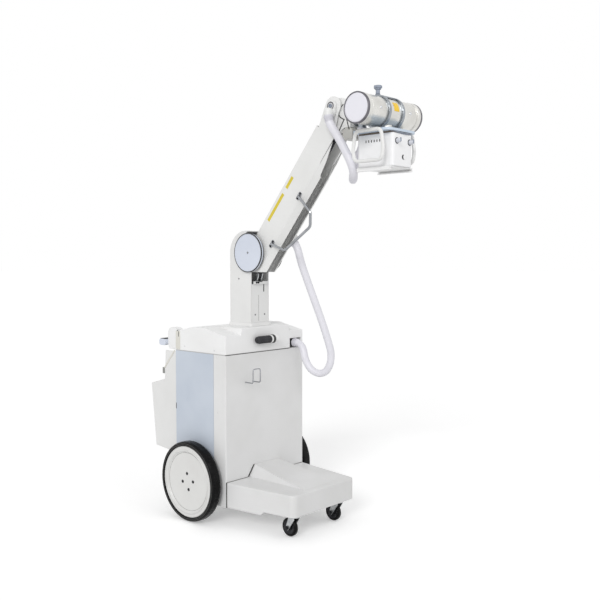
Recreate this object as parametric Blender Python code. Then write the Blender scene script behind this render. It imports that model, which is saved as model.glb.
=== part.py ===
"""Mobile x-ray machine: a cabinet on wheels, a column, a swinging arm and a tube head.

All sizes are in metres. The machine's own frame has x = 0 in the middle, y = 0 at the
cabinet's front face with the casters towards -y, and z = 0 on the floor. The root empty
moves that frame along y, so that the world's origin lies under the middle of the machine.
"""
import math

import bmesh
import bpy
from mathutils import Matrix, Vector

# Clearances
GAP = 0.0003                # between faces that touch
PIN_GAP = 0.0003            # between a pin and the hole that it turns in

# Cabinet and its side panels
CABINET_WIDTH = 0.500
CABINET_DEPTH = 0.341
CABINET_BOTTOM = 0.085
CABINET_TOP = 0.7587
PANEL_FRONT_STRIP = 0.078
PANEL_THICKNESS = 0.008
PANEL_MARGIN = 0.0012

# Moulded top cover: rises above the cabinet, and places from the front or the rear
COVER_FRONT_RISE = 0.083
COVER_PLATEAU_RISE = 0.113
COVER_CREST_RISE = 0.112
COVER_SHOULDER_RISE = 0.093
COVER_REAR_RISE = 0.086
COVER_RIDGE_BACK = 0.150
COVER_CREST_FROM_REAR = 0.113
COVER_SHOULDER_FROM_REAR = 0.024
PLATEAU_HALF_WIDTH = 0.150
PLATEAU_DRAFT = 0.007
COVER_EDGE_RADIUS = 0.005
HOSE_NOTCH_LEFT = 0.160
HOSE_NOTCH_RIGHT = 0.236
HOSE_NOTCH_HEIGHT = 0.046
HOSE_NOTCH_DEPTH = 0.034

# Platform in front of the cabinet
PLATFORM_LENGTH = 0.362
PLATFORM_FRONT_WIDTH = 0.400
PLATFORM_TOP = 0.197
PLATFORM_NOSE_BOTTOM = 0.104
PLATFORM_CORNER_RADIUS = 0.030
PLATFORM_EDGE_RADIUS = 0.006
PLATFORM_STEP_FRONT = 0.205
PLATFORM_STEP_REAR = 0.185
RAMP_LENGTH = 0.334
RAMP_RISE = 0.051
RAMP_TOP_HALF_WIDTH = 0.077
RAMP_FOOT_HALF_WIDTH = 0.112
RAMP_TOE_HALF_WIDTH = 0.100

# Rear wheels
WHEEL_RADIUS = 0.180
WHEEL_DISC_RADIUS = 0.161
WHEEL_STEP_RADIUS = 0.137
WHEEL_CENTRE_Y = 0.188
WHEEL_INNER_GAP = 0.019     # from the cabinet's side to the tyre
TYRE_WIDTH = 0.050
DISC_SHEET = 0.005
DISC_INSET = 0.004
HUB_RADIUS = 0.030
AXLE_RADIUS = 0.0125
AXLE_LENGTH = 0.052
AXLE_FLANGE_RADIUS = 0.045
AXLE_FLANGE_THICKNESS = 0.007
BOLT_HOLE_CIRCLE = 0.034
BOLT_HOLE_RADIUS = 0.005

# Casters
CASTER_X = 0.143
CASTER_Y = -0.312
CASTER_TRAIL = 0.026
CASTER_RADIUS = 0.040
CASTER_WIDTH = 0.022
CASTER_TYRE_THICKNESS = 0.010
CASTER_BOLT_RADIUS = 0.004
FORK_CLEARANCE = 0.0052
FORK_SHEET = 0.003
FORK_CROWN_RADIUS = 0.024
RACE_RADIUS = 0.021
RACE_HEIGHT = 0.008
CASTER_PLATE_SIZE = 0.062
CASTER_PLATE_THICKNESS = 0.004

# Column
COLUMN_WIDTH = 0.115
COLUMN_FRONT = 0.038
COLUMN_DEPTH = 0.138
COLUMN_SHEET = 0.0045
COLUMN_HEAD_RADIUS = 0.100
COLUMN_HEAD_END = 0.070     # where the head's arched cover ends
COLUMN_BROW_DROP = 0.060    # how far the cheek's front corner lies below the arch
FRONT_PLATE_HEIGHT = 0.1965
BASE_FLARE = 0.008
BASE_LIP = 0.003
BASE_HEIGHT = 0.016

# Arm pivot
PIVOT_Y = 0.046
PIVOT_RISE = 0.3363         # above the cover's plateau
PIVOT_PIN_RADIUS = 0.015
HUB_CAP_RADIUS = 0.088
HUB_CAP_THICKNESS = 0.0125
TIE_DROP = 0.100            # the level rod's pivots lie this far below the arm's
TIE_PIN_RADIUS = 0.006
TIE_ROD_RADIUS = 0.008
TIE_EYE_RADIUS = 0.014
TIE_EYE_THICKNESS = 0.013
TIE_EAR_THICKNESS = 0.006
TIE_EAR_CLEARANCE = 0.003

# Arm, in its own line: t along it from the pivot, n across it, positive at the back
ARM_LENGTH = 0.769
ARM_ANGLE = 51.2
ARM_WIDTH = 0.090
ARM_SHEET = 0.004
ARM_BACK = 0.030
ARM_CREASE = -0.088
ARM_LIP = -0.116
ARM_SLOT_HALF = 0.028
ARM_FOLD_RADIUS = 0.008
ARM_HEEL_RADIUS = 0.088
ARM_HEEL_CUT = 0.088        # the level cut at the arm's lower end, below the pivot
ARM_BACK_END = 0.660
ARM_NECK = 0.014
ARM_LIP_TAPER = (0.485, 0.553)
ARM_CHIN_AHEAD = 0.012      # the chin's corner, beyond the back's end
ARM_TIP_RADIUS = 0.041
ARM_BUSH_RADIUS = 0.024

# Bent rod handle on the arm, as (t, n) corners in the arm's line
ROD_HANDLE = ((0.373, -0.078), (0.362, -0.178), (0.313, -0.216), (0.142, -0.162), (0.112, -0.078))
ROD_HANDLE_RADIUS = 0.006
ROD_HANDLE_BEND = 0.022
ROD_FOOT_SIZE = (0.036, 0.018, 0.003)

# Hose socket on the arm's far side
ARM_SOCKET_T = (0.108, 0.162)
ARM_SOCKET_N = (-0.086, -0.034)
ARM_SOCKET_THICKNESS = 0.042

# Knuckle at the arm's upper end
KNUCKLE_WIDTH = 0.070
KNUCKLE_TOP_RADIUS = 0.034
KNUCKLE_FOOT_RADIUS = 0.020
KNUCKLE_FRONT = 0.084       # from the arm's upper pivot to the front face
KNUCKLE_SLOT_HALF = 0.012
END_PIN_RADIUS = 0.012
ELBOW_RADIUS = 0.0185
ELBOW_THICKNESS = 0.036
ELBOW_DROP = 0.040
LOCK_BOX_WIDTH = 0.066
LOCK_BOX_TOP_DROP = 0.102
LOCK_BOX_HEIGHT = 0.037
LOCK_BOX_REAR = 0.042
LOCK_BOX_FRONT = 0.094

# Tube head: the tube's axis, measured from the arm's upper pivot
TUBE_AHEAD = 0.2285
TUBE_BELOW = 0.0495
TUBE_RADIUS = 0.0595
TUBE_HALF_LENGTH = 0.180
TUBE_CAP_LENGTH = 0.030
TUBE_NECK_RADIUS = 0.034
RING_X = 0.045
RING_WIDTH = 0.012
RING_INNER_GAP = 0.0008
RING_WALL = 0.006
BRIDGE_ARC = (62.0, 118.0)
SADDLE_ARC = (-36.0, 36.0)
SADDLE_WALL = 0.012
ROLL_FLANGE_RADIUS = 0.038
ROLL_FLANGE_THICKNESS = 0.008
ROLL_STEM_RADIUS = 0.030
ROLL_GAP = 0.0015
GLAND_RADIUS = 0.0175
GLAND_DROP = 0.0455
GLAND_BACK = 0.1105         # behind the tube's axis
CLAMP_KNOB_X = -0.042

# Collimator and its handles
FLANGE_DROP = 0.0715
FLANGE_THICKNESS = 0.010
FLANGE_HALF_WIDTH = 0.096
FLANGE_HALF_LENGTH = 0.092
FLANGE_CORNER = 0.024
COLLIMATOR_HALF_WIDTH = 0.065
COLLIMATOR_REAR = 0.0845
COLLIMATOR_FRONT = 0.0905
COLLIMATOR_TOP_DROP = 0.0885
COLLIMATOR_BOTTOM_DROP = 0.2165
COLLIMATOR_CORNER = 0.012
COLLIMATOR_EDGE = 0.003
KNOB_RADIUS = 0.0095
KNOB_LENGTH = 0.018
KNOB_DROP = 0.119
HANDLE_TUBE_RADIUS = 0.0075
HANDLE_TOP_DROP = 0.0765
HANDLE_BOTTOM_DROP = 0.195
HANDLE_TOP_HALF = 0.062
HANDLE_BELLY_HALF = 0.074
HANDLE_BELLY_DROP = 0.150
RAIL_HALF_WIDTH = 0.075
RAIL_HEIGHT = 0.015
RAIL_SHEET = 0.005
RAIL_LIP = 0.008

# Push handle and cassette bin at the rear
BRACKET_X = (0.205, 0.235)
BRACKET_DEPTH = 0.075
BRACKET_HEIGHT = 0.102
BRACKET_CORNER = 0.030
GRIP_DEPTH = 0.048
GRIP_HEIGHT = 0.030
GRIP_RISE = 0.015           # of the grip's underside above the cabinet's top
GRIP_CORNER = 0.012
BIN_WIDTH = 0.492
BIN_SHEET = 0.003
BIN_REACH = 0.189           # behind the cabinet
# corners of the bin's side plate: (behind the cabinet, height above the floor)
BIN_SIDE = ((0.0003, 0.7515), (0.079, 0.7515), (0.088, 0.614), (BIN_REACH, 0.585),
            (0.157, 0.289), (0.082, 0.282), (0.0003, 0.275))

# Small parts on the front
HOOK_X = (-0.131, -0.086)
HOOK_HEIGHT = 0.629
HOOK_REACH = 0.050
HOOK_RISE = 0.062
HOOK_WIRE = 0.0025
HOOK_BEND = 0.008
SWITCH_X = (-0.062, 0.050)
SWITCH_RADIUS = 0.0165
SWITCH_RISE = 0.056         # above the cabinet's top
CLIP_WIDTH = 0.007

# Hoses: centre lines from the middle of one end to the other
HOSE_RADIUS = 0.017
ARM_HOSE_ROUTE = (
    (0.1990, 0.0080, 0.7830), (0.1990, -0.0100, 0.7830), (0.1960, -0.0340, 0.7760),
    (0.1900, -0.0580, 0.7560), (0.1880, -0.0700, 0.7220), (0.1920, -0.0830, 0.6880),
    (0.1990, -0.1080, 0.6590), (0.2070, -0.1440, 0.6470), (0.2130, -0.1800, 0.6600),
    (0.2160, -0.2030, 0.6980), (0.2140, -0.2090, 0.7450), (0.2030, -0.2050, 0.7920),
    (0.1830, -0.1960, 0.8580), (0.1600, -0.1840, 0.9300), (0.1340, -0.1700, 1.0080),
    (0.1080, -0.1560, 1.0860), (0.0840, -0.1480, 1.1500), (0.0710, -0.1450, 1.1900),
    (0.0663, -0.1380, 1.2220), (0.0663, -0.1247, 1.2442), (0.0663, -0.1060, 1.2592))
HEAD_HOSE_ROUTE = (
    (-0.0745, -0.4375, 1.7660), (-0.0740, -0.4440, 1.7380), (-0.0715, -0.4620, 1.7080),
    (-0.0700, -0.4850, 1.6760), (-0.0690, -0.5150, 1.6290), (-0.0660, -0.5430, 1.5790),
    (-0.0560, -0.5520, 1.5420), (-0.0320, -0.5360, 1.5130), (-0.0020, -0.5090, 1.5060),
    (0.0260, -0.4870, 1.5240), (0.0400, -0.4810, 1.5600), (0.0370, -0.4950, 1.6000),
    (0.0200, -0.5330, 1.6280), (0.0040, -0.5530, 1.6580), (0.0, -0.5539, 1.6930),
    (0.0, -0.5539, 1.7122))
HOSE_STEP = 0.040
HOSE_END = 0.012            # straight at both ends

# Places worked out from the sizes
HALF_WIDTH = CABINET_WIDTH / 2
PLATEAU_TOP = CABINET_TOP + GAP + COVER_PLATEAU_RISE
COLUMN_FOOT = PLATEAU_TOP + GAP
PIVOT_Z = PLATEAU_TOP + PIVOT_RISE
ALONG = Vector((0.0, -math.cos(math.radians(ARM_ANGLE)), math.sin(math.radians(ARM_ANGLE))))
ACROSS = Vector((0.0, ALONG.z, -ALONG.y))
PIVOT = Vector((0.0, PIVOT_Y, PIVOT_Z))
WRIST = PIVOT + ALONG * ARM_LENGTH
TUBE = WRIST + Vector((0.0, -TUBE_AHEAD, -TUBE_BELOW))
WHEEL_CENTRE = Vector((0.0, WHEEL_CENTRE_Y, WHEEL_RADIUS))
CASTER_AXLE_Y = CASTER_Y + CASTER_TRAIL
FRONT_REACH = TUBE.y - COLLIMATOR_FRONT - KNOB_LENGTH
REAR_REACH = CABINET_DEPTH + BIN_REACH
FRAME_SHIFT = -(FRONT_REACH + REAR_REACH) / 2
COLUMN_INNER_HALF = COLUMN_WIDTH / 2 - COLUMN_SHEET
COLUMN_REAR = COLUMN_FRONT + COLUMN_DEPTH
FLANGE_BOTTOM = TUBE.z - FLANGE_DROP - FLANGE_THICKNESS

# Finishes: colour, roughness, metallic
FINISHES = {
    "white_paint": ((0.80, 0.80, 0.80), 0.42, 0.0),
    "blue_panel": ((0.52, 0.58, 0.66), 0.45, 0.0),
    "black_rubber": ((0.012, 0.012, 0.012), 0.75, 0.0),
    "black_plastic": ((0.015, 0.015, 0.02), 0.40, 0.0),
    "dark_metal": ((0.10, 0.10, 0.105), 0.45, 1.0),
    "satin_metal": ((0.62, 0.61, 0.59), 0.30, 1.0),
    "chrome": ((0.78, 0.78, 0.79), 0.12, 1.0),
    "grey_plastic": ((0.30, 0.34, 0.40), 0.45, 0.0),
    "hose_plastic": ((0.76, 0.75, 0.80), 0.50, 0.0),
}
PIVOTS = {}


def clear_scene():
    for old in list(bpy.data.objects):
        bpy.data.objects.remove(old, do_unlink=True)


def finish(name):
    """The material of a finish, made once."""
    material = bpy.data.materials.get(name)
    if material is None:
        colour, roughness, metallic = FINISHES[name]
        material = bpy.data.materials.new(name)
        material.use_nodes = True
        shader = material.node_tree.nodes["Principled BSDF"]
        shader.inputs["Base Color"].default_value = (*colour, 1.0)
        shader.inputs["Roughness"].default_value = roughness
        shader.inputs["Metallic"].default_value = metallic
    return material


def add_pivot(name, place, parent=None):
    """An empty on a joint's axis; its pieces are parented to it."""
    empty = bpy.data.objects.new(name, None)
    bpy.context.scene.collection.objects.link(empty)
    empty.parent = PIVOTS[parent][0] if parent else None
    start = PIVOTS[parent][1] if parent else Vector((0.0, -FRAME_SHIFT, 0.0))
    empty.location = Vector(place) - start
    PIVOTS[name] = (empty, Vector(place))


def on_axis(axis, along, pair):
    """A point whose place along one axis and whose pair across it are given."""
    a, b = pair
    return {"X": (along, a, b), "Y": (a, along, b), "Z": (a, b, along)}[axis]


def arc(centre, radius, start, end, steps):
    """Points of an arc in a plane, both ends included, with its angles in degrees."""
    turns = [math.radians(start + (end - start) * step / steps) for step in range(steps + 1)]
    return [(centre[0] + radius * math.cos(turn), centre[1] + radius * math.sin(turn)) for turn in turns]


def rounded(corners, steps=3, closed=True):
    """The points of an outline or a path whose (place, radius) corners become arcs."""
    points = []
    for index, (place, radius) in enumerate(corners):
        here = Vector(place)
        if radius == 0 or (not closed and index in (0, len(corners) - 1)):
            points.append(here)
            continue
        back = (Vector(corners[index - 1][0]) - here).normalized()
        ahead = (Vector(corners[(index + 1) % len(corners)][0]) - here).normalized()
        half = back.angle(ahead) / 2
        centre = here + (back + ahead).normalized() * radius / math.sin(half)
        first = here + back * radius / math.tan(half) - centre
        last = here + ahead * radius / math.tan(half) - centre
        turn = first.angle(last)
        for step in range(steps + 1):
            share = step / steps
            spoke = first * math.sin((1 - share) * turn) + last * math.sin(share * turn)
            points.append(centre + spoke / math.sin(turn))
    return points


def rectangle(low_a, high_a, low_b, high_b, radius=0.0):
    """The four corners of a rectangle, rounded where a radius is given."""
    corners = [(low_a, low_b), (high_a, low_b), (high_a, high_b), (low_a, high_b)]
    return rounded([(corner, radius) for corner in corners])


def loft(sections, axis):
    """A closed solid through (place along the axis, outline) sections."""
    shape = bmesh.new()
    rings = [[shape.verts.new(on_axis(axis, along, pair)) for pair in outline] for along, outline in sections]
    for lower, upper in zip(rings, rings[1:]):
        for index in range(len(lower)):
            after = (index + 1) % len(lower)
            shape.faces.new((lower[index], lower[after], upper[after], upper[index]))
    shape.faces.new(list(reversed(rings[0])))
    shape.faces.new(rings[-1])
    bmesh.ops.recalc_face_normals(shape, faces=shape.faces)
    return shape


def prism(outline, axis, low, high):
    return loft([(low, outline), (high, outline)], axis)


def block(x, y, z):
    """A box between (low, high) pairs."""
    return prism(rectangle(*x, *y), "Z", *z)


def turned(profile, axis, centre, segments=40):
    """A solid turned about an axis from (along, radius) pairs.

    A profile that starts and ends at radius 0 is closed by its poles, any other is a ring.
    """
    shape = bmesh.new()
    rings = []
    for along, radius in profile:
        spots = [(0.0, 0.0)] if radius == 0 else arc((0.0, 0.0), radius, -90, 270, segments)[:-1]
        rings.append([shape.verts.new(Vector(on_axis(axis, along, spot)) + Vector(centre)) for spot in spots])
    pairs = list(zip(rings, rings[1:]))
    if len(rings[0]) > 1:
        pairs.append((rings[-1], rings[0]))
    for lower, upper in pairs:
        for index in range(segments):
            after = (index + 1) % segments
            corners = [lower[index % len(lower)], lower[after % len(lower)],
                       upper[after % len(upper)], upper[index % len(upper)]]
            shape.faces.new(list(dict.fromkeys(corners)))
    bmesh.ops.recalc_face_normals(shape, faces=shape.faces)
    return shape


def cylinder(axis, centre, radius, low, high, segments=24):
    """A round bar along an axis between two places on it, measured from the centre."""
    return turned([(low, 0.0), (low, radius), (high, radius), (high, 0.0)], axis, centre, segments)


def sweep(path, radius, sides=12, closed=False):
    """A round bar along a path of points."""
    points = [Vector(point) for point in path]
    count = len(points)
    shape = bmesh.new()
    rings = []
    side = None
    for index, point in enumerate(points):
        before = points[index - 1] if closed or index else point
        after = points[(index + 1) % count] if closed or index < count - 1 else point
        heading = (after - before).normalized()
        if side is None:
            spread = points[count // 2] - point
            flat = heading.cross(spread)
            side = flat.normalized() if closed and flat.length > 0 else heading.orthogonal().normalized()
        side = (side - heading * side.dot(heading)).normalized()
        other = heading.cross(side)
        stretch = 1.0
        if (closed or 0 < index < count - 1) and (after - point).length and (point - before).length:
            bend = (after - point).angle(point - before)
            stretch = 1.0 / math.cos(bend / 2)
        normal = (after - point).normalized() - (point - before).normalized()
        ring = []
        for spot in arc((0.0, 0.0), radius, 0, 360, sides)[:-1]:
            offset = side * spot[0] + other * spot[1]
            if normal.length > 1e-6:
                outward = normal.normalized()
                offset += outward * offset.dot(outward) * (stretch - 1.0)
            ring.append(shape.verts.new(point + offset))
        rings.append(ring)
    pairs = list(zip(rings, rings[1:])) + ([(rings[-1], rings[0])] if closed else [])
    for lower, upper in pairs:
        for index in range(sides):
            after = (index + 1) % sides
            shape.faces.new((lower[index], lower[after], upper[after], upper[index]))
    if not closed:
        shape.faces.new(list(reversed(rings[0])))
        shape.faces.new(rings[-1])
    bmesh.ops.recalc_face_normals(shape, faces=shape.faces)
    return shape


def place_mesh(name, shape, pivot):
    """An object made of a shape that is drawn in the machine's frame, on its pivot."""
    empty, place = PIVOTS[pivot]
    bmesh.ops.translate(shape, verts=shape.verts, vec=-place)
    mesh = bpy.data.meshes.new(name)
    shape.to_mesh(mesh)
    shape.free()
    piece = bpy.data.objects.new(name, mesh)
    bpy.context.scene.collection.objects.link(piece)
    piece.parent = empty
    return piece


def solid(name, shape, pivot, finish_name, sharp=35):
    """A named piece with its finish, shaded smooth but for its sharp edges."""
    piece = place_mesh(name, shape, pivot)
    piece["pivot"] = pivot
    piece.data.materials.append(finish(finish_name))
    piece.data.shade_smooth()
    piece.data.set_sharp_from_angle(angle=math.radians(sharp))
    return piece


def combine(piece, shape, operation):
    """Joins a shape to a piece, cuts it away or keeps what both share."""
    helper = place_mesh(f"{piece.name}_{operation.lower()}_{len(piece.modifiers)}", shape, piece["pivot"])
    helper.hide_render = True
    helper.display_type = "WIRE"
    change = piece.modifiers.new(operation.title(), "BOOLEAN")
    change.operation = operation
    change.object = helper
    return piece


def soften(piece, width, segments=2, angle=40):
    """A bevel along the piece's edges that are sharper than an angle."""
    edge = piece.modifiers.new("Softened edges", "BEVEL")
    edge.width = width
    edge.segments = segments
    edge.limit_method = "ANGLE"
    edge.angle_limit = math.radians(angle)
    return piece


def hose(name, route, pivot):
    """A hose's plain tube on a smooth curve through its route."""
    empty, place = PIVOTS[pivot]
    curve = bpy.data.curves.new(name, "CURVE")
    curve.dimensions = "3D"
    curve.bevel_depth = HOSE_RADIUS
    curve.bevel_resolution = 3
    curve.use_fill_caps = True
    points = smooth_route(route, HOSE_STEP)
    first, last = Vector(route[0]), Vector(route[-1])
    points.insert(1, first + (Vector(route[1]) - first).normalized() * HOSE_END)
    points.insert(-1, last + (Vector(route[-2]) - last).normalized() * HOSE_END)
    spline = curve.splines.new("POLY")
    spline.points.add(len(points) - 1)
    for spot, point in zip(spline.points, points):
        spot.co = (*(point - place), 1.0)
    curve.materials.append(finish("hose_plastic"))
    piece = bpy.data.objects.new(name, curve)
    bpy.context.scene.collection.objects.link(piece)
    piece.parent = empty
    return piece


def smooth_route(route, step):
    """Points about a step apart on a Catmull-Rom curve through the route."""
    knots = [Vector(point) for point in route]
    knots = [knots[0] * 2 - knots[1]] + knots + [knots[-1] * 2 - knots[-2]]
    fine = []
    for before, start, end, after in zip(knots, knots[1:], knots[2:], knots[3:]):
        for part in range(12):
            u = part / 12
            fine.append(0.5 * (2 * start + (end - before) * u
                               + (2 * before - 5 * start + 4 * end - after) * u ** 2
                               + (3 * start - before - 3 * end + after) * u ** 3))
    fine.append(knots[-2])
    lengths = [0.0]
    for near, far in zip(fine, fine[1:]):
        lengths.append(lengths[-1] + (far - near).length)
    count = max(2, round(lengths[-1] / step))
    points = []
    index = 0
    for number in range(count + 1):
        goal = lengths[-1] * number / count
        while index < len(fine) - 2 and lengths[index + 1] < goal:
            index += 1
        share = (goal - lengths[index]) / (lengths[index + 1] - lengths[index])
        points.append(fine[index].lerp(fine[index + 1], share))
    return points


def arm_spot(t, n):
    """The (y, z) of a place on the arm."""
    place = PIVOT + ALONG * t + ACROSS * n
    return (place.y, place.z)


def arm_frame():
    """Turns (x, n, t) into the machine's frame."""
    turn = Matrix((Vector((1.0, 0.0, 0.0)), ACROSS, ALONG)).transposed().to_4x4()
    return Matrix.Translation(PIVOT) @ turn


def add_pivots():
    add_pivot("machine", (0.0, 0.0, 0.0))
    for side, sign in (("left", -1), ("right", 1)):
        add_pivot(f"wheel_axle_{side}", WHEEL_CENTRE, "machine")
        add_pivot(f"caster_swivel_{side}", (sign * CASTER_X, CASTER_Y, 0.0), "machine")
        add_pivot(f"caster_axle_{side}", (sign * CASTER_X, CASTER_AXLE_Y, CASTER_RADIUS),
                  f"caster_swivel_{side}")
    add_pivot("arm_pivot", PIVOT, "machine")
    add_pivot("tie_pivot", PIVOT - Vector((0.0, 0.0, TIE_DROP)), "machine")
    add_pivot("wrist_pivot", WRIST, "arm_pivot")
    add_pivot("roll_pivot", (0.0, WRIST.y - KNUCKLE_FRONT, TUBE.z), "wrist_pivot")
    add_pivot("tilt_pivot", TUBE, "roll_pivot")


def cabinet():
    """The cabinet stays solid, and its sides are recessed for the blue panels."""
    inner = HALF_WIDTH - PANEL_THICKNESS - GAP
    strip = PANEL_FRONT_STRIP
    outline = rounded([((-HALF_WIDTH, 0.0), 0.004), ((HALF_WIDTH, 0.0), 0.004), ((HALF_WIDTH, strip), 0.0),
                       ((inner, strip), 0.0), ((inner, CABINET_DEPTH), 0.0), ((-inner, CABINET_DEPTH), 0.0),
                       ((-inner, strip), 0.0), ((-HALF_WIDTH, strip), 0.0)])
    solid("cabinet_body", prism(outline, "Z", CABINET_BOTTOM, CABINET_TOP), "machine", "white_paint")
    panel = rectangle(strip + PANEL_MARGIN, CABINET_DEPTH - GAP, CABINET_BOTTOM + PANEL_MARGIN,
                      CABINET_TOP - GAP, 0.003)
    for side, sign in (("left", -1), ("right", 1)):
        edges = sorted((sign * (inner + GAP), sign * HALF_WIDTH))
        solid(f"side_panel_{side}", prism(panel, "X", *edges), "machine", "blue_panel")


def top_cover():
    """A moulded cover: sloping to the front, with a raised plateau for the column."""
    base = CABINET_TOP + GAP
    ridge, rear = COVER_RIDGE_BACK, CABINET_DEPTH
    crest, shoulder = rear - COVER_CREST_FROM_REAR, rear - COVER_SHOULDER_FROM_REAR

    def section(front_rise):
        return [(0.0, base), (0.0, base + front_rise), (ridge, base + COVER_PLATEAU_RISE),
                (crest, base + COVER_CREST_RISE), (shoulder, base + COVER_SHOULDER_RISE),
                (rear, base + COVER_REAR_RISE), (rear, base)]

    outer = PLATEAU_HALF_WIDTH + PLATEAU_DRAFT
    low, high = section(COVER_FRONT_RISE), section(COVER_PLATEAU_RISE)
    sections = [(-HALF_WIDTH, low), (-outer, low), (-PLATEAU_HALF_WIDTH, high), (PLATEAU_HALF_WIDTH, high),
                (outer, low), (HALF_WIDTH, low)]
    cover = solid("top_cover", loft(sections, "X"), "machine", "white_paint")
    soften(cover, COVER_EDGE_RADIUS, angle=50)
    notch = block((HOSE_NOTCH_LEFT, HOSE_NOTCH_RIGHT), (-0.01, HOSE_NOTCH_DEPTH),
                  (base - 0.01, base + HOSE_NOTCH_HEIGHT))
    combine(cover, notch, "DIFFERENCE")


def hose_gland():
    """A collar on the notch's rear wall that the arm's hose comes out of."""
    x, y, z = ARM_HOSE_ROUTE[0]
    solid("hose_gland", cylinder("Y", (x, 0.0, z), HOSE_RADIUS + 0.004, y + GAP, HOSE_NOTCH_DEPTH - GAP),
          "machine", "black_plastic")


def platform():
    """The front platform with its stepped skirt and the ramp on it."""
    front = -PLATFORM_LENGTH
    half_front = PLATFORM_FRONT_WIDTH / 2
    corner = PLATFORM_CORNER_RADIUS
    plan = rounded([((-HALF_WIDTH, -GAP), 0.0), ((-half_front, front), corner), ((half_front, front), corner),
                    ((HALF_WIDTH, -GAP), 0.0)], steps=5)
    piece = solid("base_platform", prism(plan, "Z", CABINET_BOTTOM, PLATFORM_TOP), "machine", "white_paint")
    soften(piece, PLATFORM_EDGE_RADIUS, angle=60)
    low = CABINET_BOTTOM - 0.02
    nose = [(front - 0.02, low), (-PLATFORM_STEP_REAR, low), (-PLATFORM_STEP_REAR, CABINET_BOTTOM),
            (-PLATFORM_STEP_FRONT, PLATFORM_NOSE_BOTTOM), (front - 0.02, PLATFORM_NOSE_BOTTOM)]
    combine(piece, prism(nose, "X", -HALF_WIDTH - 0.02, HALF_WIDTH + 0.02), "DIFFERENCE")
    sunk = PLATFORM_TOP - 0.010
    ramp = []
    for y, foot, top, rise in ((-GAP, RAMP_FOOT_HALF_WIDTH, RAMP_TOP_HALF_WIDTH, RAMP_RISE),
                               (-RAMP_LENGTH, RAMP_TOE_HALF_WIDTH + 0.002, RAMP_TOE_HALF_WIDTH, 0.0004)):
        ramp.append((y, [(-foot, sunk), (foot, sunk), (top, PLATFORM_TOP + rise), (-top, PLATFORM_TOP + rise)]))
    combine(piece, loft(ramp, "Y"), "UNION")


def rear_wheels():
    """Stub axles with flanges, dished wheel discs with a blind hub, and tyres."""
    axle_end = AXLE_LENGTH
    tyre_in, tyre_out = WHEEL_INNER_GAP, WHEEL_INNER_GAP + TYRE_WIDTH
    face = tyre_out - DISC_INSET
    seat = WHEEL_DISC_RADIUS
    bore = AXLE_RADIUS + PIN_GAP
    hub_in = AXLE_FLANGE_THICKNESS + 0.002
    disc = [(axle_end + GAP, 0.0), (axle_end + GAP, bore), (hub_in, bore), (hub_in, HUB_RADIUS),
            (face - DISC_SHEET - 0.005, HUB_RADIUS), (face - DISC_SHEET - 0.005, WHEEL_STEP_RADIUS - 0.006),
            (face - DISC_SHEET, seat - 0.006), (tyre_in + 0.004, seat - 0.006), (tyre_in + 0.004, seat),
            (face - 0.002, seat), (face, seat - 0.002), (face, WHEEL_STEP_RADIUS + 0.001),
            (face - 0.005, WHEEL_STEP_RADIUS - 0.005), (face - 0.005, 0.0)]
    shoulder = 0.008
    tyre = [(tyre_in, seat + GAP), (tyre_out, seat + GAP), (tyre_out, WHEEL_RADIUS - shoulder),
            (tyre_out - 0.003, WHEEL_RADIUS - 0.003), (tyre_out - shoulder - 0.003, WHEEL_RADIUS),
            (tyre_in + shoulder + 0.003, WHEEL_RADIUS), (tyre_in + 0.003, WHEEL_RADIUS - 0.003),
            (tyre_in, WHEEL_RADIUS - shoulder)]
    flange = [(0.0, 0.0), (0.0, AXLE_FLANGE_RADIUS), (AXLE_FLANGE_THICKNESS, AXLE_FLANGE_RADIUS - 0.002),
              (AXLE_FLANGE_THICKNESS, AXLE_RADIUS), (axle_end, AXLE_RADIUS), (axle_end, 0.0)]
    for side, sign in (("left", -1), ("right", 1)):
        def outward(profile):
            return [(sign * (HALF_WIDTH + GAP + along), radius) for along, radius in profile]

        solid(f"axle_{side}", turned(outward(flange), "X", WHEEL_CENTRE, 24), "machine", "satin_metal")
        wheel = solid(f"wheel_disc_{side}", turned(outward(disc), "X", WHEEL_CENTRE, 48),
                      f"wheel_axle_{side}", "white_paint")
        for number in range(4):
            turn = math.radians(90 * number + 8)
            spot = WHEEL_CENTRE + Vector((0.0, math.sin(turn), math.cos(turn))) * BOLT_HOLE_CIRCLE
            reach = sorted((sign * (HALF_WIDTH + face - 0.009), sign * (HALF_WIDTH + face + 0.010)))
            combine(wheel, cylinder("X", spot, BOLT_HOLE_RADIUS, *reach, 12), "DIFFERENCE")
        solid(f"tyre_{side}", turned(outward(tyre), "X", WHEEL_CENTRE, 48), f"wheel_axle_{side}",
              "black_rubber")


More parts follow.
